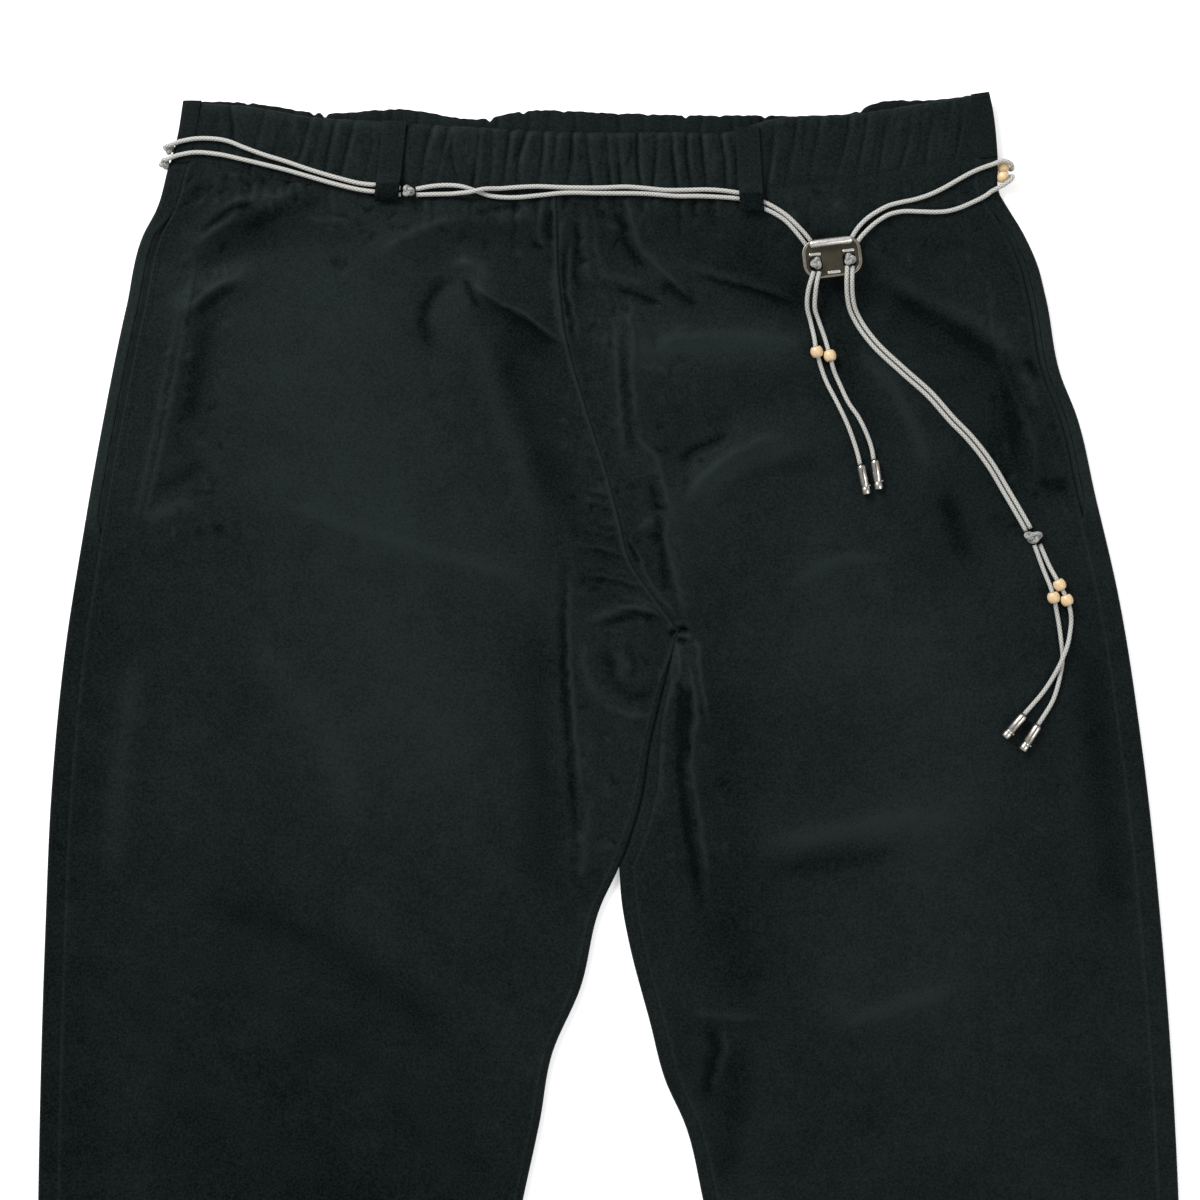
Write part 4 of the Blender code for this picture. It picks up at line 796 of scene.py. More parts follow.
# %% Gathers of the waist: rows of (across, lean to the bottom, depth as a share)
GATHERS = (
    (-196, 2, 0.7), (-189, 2, 0.8), (-176, -3, 0.9), (-165, -3, 0.5), (-155, -4, 1.0),
    (-147, -3, 0.5), (-140, -2, 0.9), (-132, -3, 0.9), (-122, -2, 0.4), (-104, 2, 0.5), (-92, -3, 0.9),
    (-85, -4, 0.9), (-77, 2, 0.4), (-67, -3, 1.0), (-60, -2, 0.5), (-52, -3, 0.9), (-44, -4, 1.0),
    (-35, -3, 0.9), (-28, -2, 0.5), (-21, -3, 0.9), (-10, 3, 0.9), (-1, 2, 0.8), (4, 2, 0.8), (15, 2, 1.0),
    (22, -2, 0.8), (32, 3, 0.9), (40, 3, 0.8), (47, 3, 0.9), (56, 2, 0.9), (61, 2, 0.4), (80, -2, 0.9),
    (90, -3, 0.9), (96, -2, 0.4), (102, -3, 0.9), (115, -4, 0.9), (125, -3, 0.9), (131, -2, 0.4),
    (137, -3, 0.8), (147, -3, 0.9), (154, -2, 0.4), (160, -3, 0.8), (167, -3, 0.5), (173, -2, 0.8),
)
SIDEWAYS, RIGHT_END = 76, -120
random = np.random.default_rng(7)


def leaning(across, lean):
    """The lean of a gather: stronger towards the sides, and more to the right at that end."""
    return lean * (2.2 if abs(across) > SIDEWAYS else 1.2) - 2.0 * (across < RIGHT_END)


def full_gathers(rows):
    """Each row with its own bow, in mm, and the place down the casing where it is deepest."""
    return [(*row, float(random.uniform(-1.8, 1.8)), float(random.uniform(-0.1, 1.1))) for row in rows]


FRONT_GATHERS = full_gathers([(x, leaning(x, lean), depth) for x, lean, depth in GATHERS])
BACK_FROM, BACK_TO = -212, 182
back_places = np.cumsum(random.uniform(3.5, 10.5, 60)) + BACK_FROM
BACK_GATHERS = full_gathers([
    (x, float(random.uniform(-3, 3)), float(random.uniform(0.3, 1.0)))
    for x in back_places.tolist() if x < BACK_TO
])
FULLNESS = (
    (-205, 0.35), (-150, 0.55), (-110, 0.7), (-60, 0.85), (-35, 1.0), (60, 1.0), (80, 0.6), (185, 0.4),
)


def gather_height(across, share, table):
    """Height of the casing over its creases, from 0 to about 1, and its painted light and shade: paler
    ridges, darker creases.
    """
    place_of, lean, depth, bow, deepest = (np.array(column)[:, None, None] for column in zip(*table))
    creases = place_of + lean * (share - 0.5) + bow * np.sin(math.pi * share)
    strength = depth * (0.3 + 0.7 * np.exp(-(((share - deepest) / 0.55) ** 2)))
    apart = across[None] - creases
    below = np.where(apart < 0, -1e9, -apart).argmax(0)
    k = np.clip(below, 0, len(table) - 2)[None]
    first, last = np.take_along_axis(creases, k, 0)[0], np.take_along_axis(creases, k + 1, 0)[0]
    low, high = np.take_along_axis(strength, k, 0)[0], np.take_along_axis(strength, k + 1, 0)[0]
    t = np.clip((across - first) / np.maximum(last - first, 1.0), 0, 1)
    ends = 1 - (low * (1 - t) + high * t)
    top = np.minimum(1.0, 0.55 + (last - first) / 20)
    height = ends + (np.maximum(top, ends) - ends) * np.sin(math.pi * t) ** 0.7
    ridges = 0.8 * strength * np.exp(-(((apart - 2.0) / 1.0) ** 2))
    lines = ridges - 1.2 * strength * np.exp(-((apart / 0.9) ** 2))
    return height, lines.sum(0)


def band_lines(count, seed):
    """Fine upright lines between the gathers, each over part of the casing, mostly painted light and shade.
    """
    random = np.random.default_rng(seed)
    made = []
    for _ in range(count):
        x, top, length = random.uniform(-206, 184), random.uniform(-2, 20), random.uniform(7, 18)
        half = (x - random.uniform(-0.5, 2.5), top + length / 2)
        path = ((x, top), half, (x - random.uniform(0, 5), top + length))
        made.append(("line", random.uniform(-1, 1), random.uniform(0.7, 1.5), path))
    return tuple(made)


BAND_LINES = band_lines(160, 11)
NICK_WIDTH = 1.3
NICKS = (
    (-181, 0.7), (-148, 1.2), (-142.5, 2.2), (-113, 0.6), (-60, 2.0), (-43.5, 1.5), (-23, 0.8), (4, 0.8),
    (19, 0.6), (37.7, 1.6), (55, 0.6), (77.5, 1.6), (101, 0.7), (125, 1.3), (150, 0.6),
)


def nicked(across, nicks):
    """How far an edge dips at its nicks, with a little unevenness all along."""
    dips = sum(depth * np.exp(-(((across - at) / NICK_WIDTH) ** 2)) for at, depth in nicks)
    return dips + 0.22 * np.sin(across * 0.9 + 2.2 * np.sin(across * 0.17)) * np.sin(across * 0.31)


PUCKERS = []
for x, lean, depth in GATHERS:
    reach = float(random.uniform(10, 26)) * (0.5 + depth)
    drift = float(random.uniform(-3, 3)) + lean
    depth *= 1.0 if -48 < x < 50 else 0.35
    PUCKERS.append(("pucker", -0.75 * depth, 1.4, ((x + lean / 2, 30), (x + lean / 2 + drift, 38 + reach))))
    tuck = ((x + lean / 2 + 3, 30), (x + 3 + drift * 1.4, 38 + reach * 0.7))
    PUCKERS.append(("tuck", 0.5 * depth, 1.5, tuck))
print("gathers:", len(FRONT_GATHERS), "behind:", len(BACK_GATHERS), "puckers:", len(PUCKERS))

# %% [markdown]
# ## Front panels
#
# Each front runs from the centre seam and inseam to the pocket's edge and side seam. The rows near the
# waist follow the band's seam. The rows are close together where the photo looks, and wider apart below the
# knee, where only the larger folds need them.

# %% Rows down a leg
BESIDE_SEAM = (0.0, 0.35, 0.75, 1.25, 1.9, 2.8, 4.0)
FIRST_ROW, FINE_ENDS, PHOTO_ENDS = 38.0, 380.0, 545.0


def rows_down(fine, middling, coarse):
    """Rows at three spacings: where most creases are, to the photo's edge, and down to the hem."""
    upper = np.arange(FIRST_ROW, FINE_ENDS, fine)
    middle = np.arange(FINE_ENDS, PHOTO_ENDS, middling)
    lower = np.arange(PHOTO_ENDS, HEM, coarse)
    return np.concatenate([upper, middle, lower, [HEM]])


def follow_seam(nominal, across, seam):
    """Down at a row of a panel: near the waist it follows the band's seam."""
    top = seam(across) + CLOSED
    share = (nominal - FIRST_ROW) / (WAIST_ROWS_END - FIRST_ROW)
    return np.where(nominal < WAIST_ROWS_END, top + (WAIST_ROWS_END - top) * share, nominal)


def seam_ridge(distance, height):
    """A pressed seam: a fine groove, and beside it a low ridge over the allowances."""
    return height * np.exp(-(((distance - 1.1) / 0.9) ** 2)) - 0.08 * np.exp(-((distance / 0.4) ** 2))


def columns_from(start, end, close, wide, reach=62.0):
    """Places across at each row: finest beside both edges, close for the first stretch, then wider."""
    width = np.abs(end - start)
    fine = np.array(BESIDE_SEAM)[None, :]
    reach = np.minimum(reach, 0.4 * width)
    near = fine[:, -1:] + (reach - fine[:, -1:]) * np.linspace(0, 1, close + 1)[None, 1:]
    far = reach + (width - reach - fine[:, -1:]) * np.linspace(0, 1, wide + 2)[None, 1:-1]
    inner = np.broadcast_to(fine, (len(width), fine.shape[1]))
    return start + np.sign(end - start) * np.concatenate([inner, near, far, width - inner[:, ::-1]], axis=1)


# %% Height of a front
HEM_FOLD = 20.0
DEEPEST_FOLD = -1.7
CREASE_HEIGHT, CREASE_LIMIT = 0.8, 2.2
CREASE_PAINTED_SHADING, FOLD_PAINTED_SHADING, PUCKER_PAINTED_SHADING, SEAM_PAINTED_SHADING, RUMPLE_PAINTED_SHADING = 0.45, 0.05, 0.4, 1.3, 0.55


def wavered(across, down):
    """Places moved a little to and fro, so that no crease runs quite straight or smooth."""
    along = np.sin(down * 0.55 + 1.7 * np.sin(down * 0.13)) * np.sin(across * 0.11 + down * 0.07)
    aside = np.sin(across * 0.6 + 1.9 * np.sin(across * 0.12)) * np.sin(down * 0.10 + across * 0.05)
    return across + 0.55 * along, down + 0.35 * aside


def front_relief(side, across, down):
    """Height and painted shading of a front: each ridge raised and painted paler, each trough painted darker.
    """
    from_side = np.abs(SIDE[side](down) - across) - SIDE_SEAM_IN
    from_inner = np.abs(across - inner_edge(side, down)) - front_inner(side, down)
    shown = ease(from_side / 14)
    rolled = 1 - (1 - ease(from_inner / 8)) * ease((down - CROTCH) / 25)
    shown = shown * np.where(down > CROTCH, rolled, 1.0) * ease((down - 30) / 25)
    folds = np.maximum(creases_at(FOLDS, across, down), DEEPEST_FOLD) * shown
    close = ease(from_side / 3) * ease(from_inner / 2)
    creases = creases_at(CREASES, *wavered(across, down), 0.25) * close
    puckers = creases_at(PUCKERS, *wavered(across, down), 0.45) * close
    rumples = creases_at(RUMPLES, across, down, 0.4) * close
    raised = np.where(down < CROTCH, 0.8 if side < 0 else 0.12, 0.2)
    seam = seam_ridge(from_inner, raised) + seam_ridge(from_side, 0.25)
    fine = CREASE_HEIGHT * np.clip(creases, -CREASE_LIMIT, CREASE_LIMIT)
    height = belt_lift(down) + LAID + folds + fine + puckers + rumples + seam
    height -= edge_drop(down) * (1 - ease(from_inner / 8))
    height += 0.25 * ease(down - HEM + HEM_FOLD + 0.5)
    # Painted light and shade: ridges of the creases, folds, puckers, rumples and seams painted paler, their
    # troughs darker.
    painted_shading = CREASE_PAINTED_SHADING * creases + FOLD_PAINTED_SHADING * folds + PUCKER_PAINTED_SHADING * puckers + SEAM_PAINTED_SHADING * seam
    painted_shading += RUMPLE_PAINTED_SHADING * rumples
    return height, painted_shading_at(across, down) + painted_shading


# %% Build the fronts
FRONT_ROWS = (1.25, 2.0, 8.0)
FRONT_CLOSE, FRONT_WIDE = 56, 136
CLOTH = 0.6


def front_panel(side):
    nominal = rows_down(*FRONT_ROWS)[:, None]
    down = nominal
    for _ in range(3):
        first, last = down[:, :1], down[:, -1:]
        closed = 1 - ease((last - POCKET[side][0]) / 6) * ease((POCKET[side][1] - last) / 6)
        start = inner_edge(side, first) + side * front_inner(side, first)
        end = SIDE[side](last) - side * (SIDE_SEAM_IN - closed * (SEAM - CLOSED))
        across = columns_from(start, end, FRONT_CLOSE, FRONT_WIDE)
        down = follow_seam(nominal, across, band_seam)
    height, painted_shading = front_relief(side, across, down)
    points = np.stack([across, down, height], axis=-1)
    name = f"front_{WORD[side]}"
    made = lined_shell(f"{name}_cloth", points, CLOTH, side < 0, painted_shading)
    crisp_edges(made, painted_shading.shape[1], lambda row, column: row == 0)
    cut_areas[made.name] = cut_area(np.abs(end - start), down)
    return stands_for(made, "cloth", name), points


fronts = {side: front_panel(side) for side in (-1, 1)}
print_areas(fronts.values())

# %% [markdown]
# ## Back panels
#
# A back lies on the surface and turns up round both its edges. Its points are found along the cloth: a run on
# top, a half roll, then flat. The part beside a pocket's opening is narrower, and the top of its roll there
# is painted paler, a painted highlight.

# %% Build the backs


def roll(distance, radius, angle, run):
    """Distance from the folded edge and height, at a distance along the cloth from its own edge."""
    past = distance - run
    left = angle - past / radius
    turning = past < angle * radius
    inward = np.where(turning, radius - radius * np.sin(left), radius + past - angle * radius)
    height = np.where(turning, radius - radius * np.cos(left), 0.0)
    return np.where(past < 0, radius - past, inward), np.where(past < 0, 2 * radius, height)


ROLL_POINTS, FLAT_POINTS = 26, 42
BACK_ROWS = (2.6, 3.2, 7.0)


def back_panel(side):
    radius = LAID / 2
    nominal = rows_down(*BACK_ROWS)[:, None]

    def on_edge(edge):
        down = nominal
        for _ in range(4):
            down = follow_seam(nominal, edge(down), back_seam)
        return down

    down = on_edge(lambda d: inner_edge(side, d))
    turn, run = wrap_of(down), inseam_run(side, down)
    zone = math.pi * radius + max(INSEAM_IN[side] - radius, 0)
    at = np.linspace(0, 1, ROLL_POINTS)[None, :] ** 1.5
    inward, height = roll(at * zone, radius, turn, run)
    inward = CLOSED + inward - radius * (1 - np.sin(np.minimum(turn, math.pi / 2)))
    height = height + seam_ridge(at * zone, 0.1) * (height > 1.9 * radius)
    inner = [inner_edge(side, down) + side * inward, height]
    down = on_edge(SIDE[side])
    run = side_seam(side, down) - radius
    along = at * (math.pi * radius + run)
    inward, height = roll(along, radius, math.pi, run)
    height = height + seam_ridge(along, 0.15) * (height > 1.9 * radius)
    outer = [(SIDE[side](down) - side * inward)[:, ::-1], height[:, ::-1]]
    share = np.linspace(0, 1, FLAT_POINTS + 2)[None, 1:-1]
    flat = inner[0][:, -1:] + (outer[0][:, :1] - inner[0][:, -1:]) * share
    across = np.concatenate([inner[0], flat, outer[0]], axis=1)
    height = np.concatenate([inner[1], np.zeros(flat.shape), outer[1]], axis=1)
    down = follow_seam(nominal, across, back_seam)
    inside = ease((np.abs(SIDE[side](down) - across) - 6) / 20)
    inside = inside * ease((np.abs(across - inner_edge(side, down)) - 6) / 20)
    height = height + np.where(height < 1.0, creases_at(BACK_CREASES, across, down, 0.3) * inside, 0.0)
    beside = ease((down - POCKET[side][0]) / 12) * ease((POCKET[side][1] - down) / 12)
    points = np.stack([across, down, height + belt_lift(down)], axis=-1)
    name = f"back_{WORD[side]}"
    # Painted highlight: the top of the roll beside a pocket's opening is painted paler.
    painted_shading = painted_shading_at(across, down) + 0.3 * beside * (height > 3.0)
    made = shell(f"{name}_cloth", points, CLOTH, side > 0, painted_shading)
    between = np.abs(outer[0][:, :1] - inner[0][:, -1:])
    cut_areas[made.name] = cut_area(zone + between + math.pi * radius + run, down)
    return stands_for(made, "cloth", name), points


backs = {side: back_panel(side) for side in (-1, 1)}
print_areas(backs.values())

# %% [markdown]
# ## Waistband
#
# An elastic casing, front and back half. It is a channel of folded cloth, thicker than a panel, and its
# upper edge dips a little at each crease.

# %% Build the waistband
BAND_CLOTH, BACK_BAND_CLOTH = 1.1, 1.3
BAND_GRID, BACK_BAND_GRID = (27, 610), (20, 452)


def band_side(side, share):
    return SIDE[side](-9 + 32 * share)


def waistband_front():
    share = np.linspace(0, 1, BAND_GRID[0])[:, None]
    left, right = band_side(-1, share) + SIDE_SEAM_IN, band_side(1, share) - SIDE_SEAM_IN
    across = left + (right - left) * np.linspace(0, 1, BAND_GRID[1])[None, :]
    share = np.broadcast_to(share, across.shape)
    inside = ease((across - left) / (BAND_PLAIN + 4)) * ease((right - across) / (BAND_PLAIN + 4))
    full = inside * np.interp(across, *zip(*FULLNESS))
    gathers, lines = gather_height(across, share, FRONT_GATHERS)
    rise = np.interp(share, (0, 0.12, 0.55, 1), (-0.5, 0.0, 0.0, -0.2))
    height = BAND_TOP + rise + BAND_GATHER * (0.3 + (gathers - 0.3) * full)
    level = belt_lift(band_seam(across)) + LAID
    height = height + (level - height) * ease((share - 0.9) / 0.1)
    height -= 0.9 * (1 - ease(share / 0.05))
    top = front_edge(across) + 0.7 * (1 - gathers) * full + nicked(across, ()) * full
    seam = band_seam(across) - CLOSED
    down = top + (seam - top) * share
    upright = creases_at(BAND_LINES, across, down, 0.35)
    lines = lines + 0.75 * upright
    height = height + 0.12 * upright * inside
    points = np.stack([across, down, height], axis=-1)
    # Painted light and shade of the band: paler ridges and bulges, darker creases, and a painted highlight
    # along its top fold.
    rim = 0.14 * np.exp(-(((share - 0.05) / 0.05) ** 2))
    painted_shading = 0.5 + 0.5 * lines * np.maximum(full, 0.6 * inside) + 0.1 * (gathers - 0.6) * full + rim
    made = shell("waistband_front_cloth", points, BAND_CLOTH, False, painted_shading)
    lowest, last = painted_shading.shape[0] - 1, painted_shading.shape[1] - 1
    crisp_edges(made, painted_shading.shape[1], lambda row, column: np.isin(row, lowest) | np.isin(column, (0, last)))
    return stands_for(made, "cloth", "waistband_front"), points


def waistband_back():
    radius = (BAND_TOP + 0.3 - BELT_LIFT) / 2
    run = SIDE_SEAM_IN - CLOSED - radius
    share = np.linspace(0, 1, BACK_BAND_GRID[0])[:, None]
    at = np.linspace(0, 1, ROLL_POINTS)[None, :]
    inward, height = roll(at * (math.pi * radius + run), radius, math.pi, run)
    left, right = band_side(-1, share) + inward, (band_side(1, share) - inward)[:, ::-1]
    middle = left[:, -1:] + (right[:, :1] - left[:, -1:]) * np.linspace(0, 1, BACK_BAND_GRID[1])[None, 1:-1]
    across = np.concatenate([left, middle, right], axis=1)
    share = np.broadcast_to(share, across.shape)
    inside = ease((across - left[:, -1:]) / 8) * ease((right[:, :1] - across) / 8)
    gathers, lines = gather_height(across, share, BACK_GATHERS)
    rolled = np.broadcast_to(height, left.shape)
    height = np.concatenate([rolled, np.zeros(middle.shape), rolled[:, ::-1]], axis=1)
    height = height + 0.6 * gathers * inside
    top = back_edge(across) + nicked(across, NICKS) * inside
    seam = back_seam(across) - CLOSED
    points = np.stack([across, top + (seam - top) * share, height + BELT_LIFT], axis=-1)
    # Painted light and shade of the back band: paler ridges, darker creases.
    painted_shading = 0.46 + 0.25 * lines * inside
    made = shell("waistband_back_cloth", points, BACK_BAND_CLOTH, True, painted_shading)
    return stands_for(made, "cloth", "waistband_back"), points


band_front, band_front_points = waistband_front()
band_back, band_back_points = waistband_back()
print_areas(((band_front, band_front_points), (band_back, band_back_points)))

# %% [markdown]
# ## Pocket facings
#
# The strip of cloth that shows in a pocket's opening, under the front's edge.

# %% Build the pocket facings
FACING = (
    (POCKET_LIP + SEAM, LAID - 0.4), (POCKET_LIP + 2, LAID - 1.6), (12.0, LAID - 1.8), (16.0, LAID - 1.95),
)
# The facing is the same black cloth painted paler: painted light in the shaded opening of the pocket.
FACING_CLOTH, FACING_PAINTED_LIGHT = 0.7, 0.85


def pocket_facing(side):
    top, bottom = POCKET[side]
    down = np.linspace(top - 2, bottom + 2, 110)[:, None]
    inward = np.linspace(FACING[0][0], FACING[-1][0], 12)[None, :]
    height = np.interp(inward, *zip(*FACING)) + 0.12 * np.sin(down * 0.5 + 1.5 * np.sin(down * 0.11))
    across = SIDE[side](down) - side * inward
    down = np.broadcast_to(down, across.shape)
    points = np.stack([across, down, belt_lift(down) + height], axis=-1)
    name = f"pocket_facing_{WORD[side]}"
    made = shell(f"{name}_cloth", points, FACING_CLOTH, side > 0, np.full(across.shape, FACING_PAINTED_LIGHT))
    return stands_for(made, "cloth", name), points


facings = {side: pocket_facing(side) for side in (-1, 1)}
print_areas(facings.values())

# %% [markdown]
# ## Cord
#
# A thin grey braided cord is doubled round the waist. Each strand could be a bevelled curve, but a mesh
# tube has its own unwrapping along and around, so that the braid of the material runs along it. Its route
# is the table of the part's source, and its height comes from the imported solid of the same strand.

# %% Routes of the cord: rows of (across, down), and the height where it isn't on the cloth
BACK_UPPER = (
    (-222, 17, 2.4), (-150, 19.5, 2.4), (-60, 18, 2.4), (40, 22, 2.4), (120, 20.5, 2.4), (192.7, 25, 2.4),
)
BACK_LOWER = (
    (-224, 24.5, 2.4), (-140, 28, 2.4), (-50, 25, 2.4), (60, 29, 2.4), (130, 28, 2.4), (192.7, 32, 2.4),
)
RIGHT_UPPER = (
    (-221.2, 16.4, 10.6), (-217, 14.4), (-207, 12.5), (-198.5, 12.5), (-191, 13.7), (-182.5, 17),
    (-172, 20.8), (-161.5, 24), (-151, 27.6), (-137, 31.8), (-125, 34.8), (-111, 36.2), (-104.4, 37.2),
)
RIGHT_LOWER = (
    (-222.6, 23.4, 10.6), (-218, 21.2), (-207, 19.3), (-195.5, 20.3), (-183, 23), (-172, 25.6),
    (-161.5, 28.2), (-151, 31.2), (-137, 35.2), (-125, 38), (-111, 39.6), (-104.4, 40.2),
)
FRONT_UPPER = (
    (-96.6, 40.5), (-88, 40.2), (-78, 40), (-69.5, 39.4), (-63, 38), (-54, 37.4), (-46, 36.8), (-35.5, 36.4),
    (-25, 36.8), (-4, 37), (8, 36.6), (17, 37.2), (27.5, 38.2), (38, 38.2), (48.5, 38), (59, 38.8), (66, 40),
    (76.8, 44), (82, 46.7), (88, 50.7), (93.5, 55.8), (97.5, 60), (100.5, 64), (102.8, 69.5), (103.7, 74.3),
)
FRONT_LOWER = (
    (-96.6, 37.6), (-88, 36.2), (-81, 35.8), (-74, 36.4), (-67, 38.6), (-60, 41), (-53, 41.8), (-46, 41.8),
    (-35.5, 40.8), (-25, 39.7), (-4, 39.8), (17, 40), (34.5, 41.2), (45, 41.2), (55.5, 41.6), (66, 42.8),
    (76, 46.9), (82, 49.8), (87, 53), (92, 58), (95.5, 62.3), (98.5, 66.5), (100.3, 70.8), (101, 74.8),
)
LEFT_UPPER = (
    (193, 25, 2.4), (197.5, 25.6, 2.5), (200.7, 27.0, 4.2), (201.1, 26.8, 7.6), (200.0, 25.0, 10.0),
    (197, 23.7, 11.0), (192, 24.9),
    (187, 26.5), (180.5, 29.2), (173.5, 33), (166.5, 37), (159.5, 40.3), (152.5, 42.6), (145, 44.2),
    (139, 45.8), (134, 48.3), (127.8, 52.5), (123.5, 57), (120.7, 61.5), (118.6, 67), (117.9, 72.5),
)
LEFT_LOWER = (
    (193, 32, 2.4), (197.5, 31.6, 2.5), (200.7, 30.6, 4.4), (201.1, 31.0, 7.8), (200.2, 32.6, 10.0),
    (197.8, 34.6, 11.0), (192, 37.2),
    (188, 40.4), (180.5, 44.3), (173.5, 47.2), (168, 48.6), (162.5, 49), (155, 48.8), (145, 48.8),
    (139, 50.3), (134, 53.2), (128.3, 58), (124, 63), (121.4, 68), (120.6, 73),
)
TAIL_LOWER = (
    (101.2, 79.3), (100, 83), (98.5, 89), (98.5, 97.5), (100, 102.5), (102, 111.5), (103, 118.5),
    (104.3, 122.5), (108, 133), (113, 143), (118, 153.5), (121.5, 162.5), (124, 170.5), (125, 175),
)
TAIL_UPPER = (
    (104, 79.3), (102.9, 84), (102.2, 90), (102.3, 97.5), (104.3, 103), (107.5, 112), (109.8, 120.7),
    (111.5, 126.8), (115, 135), (119.5, 144.5), (124, 151), (127.7, 158.3), (130.7, 166.5), (131.8, 172.5),
)
LONG_TAIL = (
    (119.2, 76.5), (119, 84), (119.3, 89), (121, 97), (124, 103), (131, 113), (146.5, 128),
    (159.5, 139.5), (172, 153.5), (178.5, 160), (190, 174.5), (199, 189.5), (209.2, 207.2),
)
LONG_TAIL_APART = 1.35
LONG_END_INNER = (
    (212.2, 215), (216, 225.5), (220, 236), (221.5, 241.3), (223.3, 248.5), (225.5, 262.5), (226.3, 270),
    (225, 280.3), (221.8, 291.8), (214, 304.8),
)
LONG_END_OUTER = (
    (214.9, 214.6), (220.6, 227.5), (224.5, 235), (228.2, 242.5), (230.5, 252), (229.5, 261), (225.5, 272.5),
    (218, 286.5), (207, 299.6),
)

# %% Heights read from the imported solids


def solid_tree(*names):
    points, faces = [], []
    for name in names:
        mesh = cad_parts[name].data
        first = len(points)
        points += [vertex.co for vertex in mesh.vertices]
        faces += [[first + v for v in polygon.vertices] for polygon in mesh.polygons]
    return BVHTree.FromPolygons(points, faces)


ABOVE, BELOW = 60.0, -30.0


def hit_on(tree, across, down, from_below=False):
    """Where a ray straight down, or straight up from below, meets the faces, or None beside them."""
    height, direction = (BELOW, 1) if from_below else (ABOVE, -1)
    return tree.ray_cast(Vector(place((across, down, height))), Vector((0, 0, direction)))[0]


def height_on(tree, across, down):
    """Height in mm of the uppermost face at a place, or None beside it."""
    hit = hit_on(tree, across, down)
    return hit.z / MM if hit else None


def smoothed(values, reach):
    """Each value's mean with its neighbours on both sides."""
    count = 2 * reach + 1
    return np.convolve(np.pad(values, reach, mode="edge"), np.ones(count) / count, mode="valid")


def strand_line(node_name, route, spacing=1.2):
    """Points down the middle of a strand, in mm."""
    lead = [point for point in route if len(point) == 3]
    flat = np.array([point[:2] for point in route if len(point) == 2])
    if len(flat) == 0:
        return curved(np.array(route, float), spacing)
    tree = solid_tree(node_name)
    line = curved(flat, spacing)
    heights = [height_on(tree, *point) for point in line]
    known = [i for i, height in enumerate(heights) if height is not None]
    heights = np.interp(range(len(line)), known, [heights[i] - CORD / 2 for i in known])
    line = np.column_stack([line, smoothed(heights, 2)])
    if lead:
        bend = curved(np.array(lead + [line[2]]), spacing)
        line = np.concatenate([bend[:-1], line[2:]])
    return line


def both_strands(route, apart):
    made = ([], [])
    for i, (x, d) in enumerate(route):
        a, b = route[max(i - 1, 0)], route[min(i + 1, len(route) - 1)]
        length = math.dist(a, b)
        normal = ((b[1] - a[1]) / length, -(b[0] - a[0]) / length)
        for line, sign in zip(made, (-1, 1)):
            line.append((x + sign * normal[0] * apart, d + sign * normal[1] * apart))
    return made


# %% Braided cord material
# The dark colour is mostly painted shade in the braid's grooves; the light one is the cord's grey.
CORD_LIGHT, CORD_DARK = (0.50, 0.495, 0.465), (0.07, 0.069, 0.064)
# The knots are the same cord painted darker: painted shade where it is pulled tight.
KNOT_SHADED_LIGHT, KNOT_SHADED_DARK = (0.34, 0.34, 0.325), (0.04, 0.04, 0.037)
BRAID, BRAID_AROUND, FUZZ = 2.0, 4, 1600.0


def cord_material(name, light, dark):
    made, tree, shader = new_material(name, 0.75, Sheen_Weight=0.12)
    parts = tree.nodes.new("ShaderNodeSeparateXYZ")
    tree.links.new(coordinates(tree, "UV"), parts.inputs[0])
    along = math_node(tree, "MULTIPLY", parts.outputs["X"], 2 * math.pi)
    around = math_node(tree, "MULTIPLY", parts.outputs["Y"], 2 * math.pi * BRAID_AROUND)
    right = math_node(tree, "SINE", math_node(tree, "ADD", along, around))
    left = math_node(tree, "SINE", math_node(tree, "SUBTRACT", along, around))
    braid = math_node(tree, "MAXIMUM", right, left)
    # Painted light and shade of the braid: its crowns painted paler, the grooves between strands darker.
    lit = math_node(tree, "ADD", math_node(tree, "MULTIPLY", braid, 0.35), 0.6)
    fuzz = noise(tree, coordinates(tree), FUZZ, 2.0)
    uneven = math_node(tree, "MULTIPLY", math_node(tree, "SUBTRACT", fuzz, 0.5), 0.5)
    factor = clamped(tree, math_node(tree, "ADD", lit, uneven))
    tree.links.new(mixed(tree, factor, dark, light), shader.inputs["Base Color"])
    bumped(tree, shader, (braid, 0.5, 0.0002), (fuzz, 0.3, 0.0001))
    return made


grey_cord = cord_material("grey braided cord", CORD_LIGHT, CORD_DARK)
# A darker copy of the cord material, as painted shade for the knots.
knot_cord_in_painted_shade = cord_material("grey cord with painted knot shade", KNOT_SHADED_LIGHT, KNOT_SHADED_DARK)

# %% A tube along a line of points


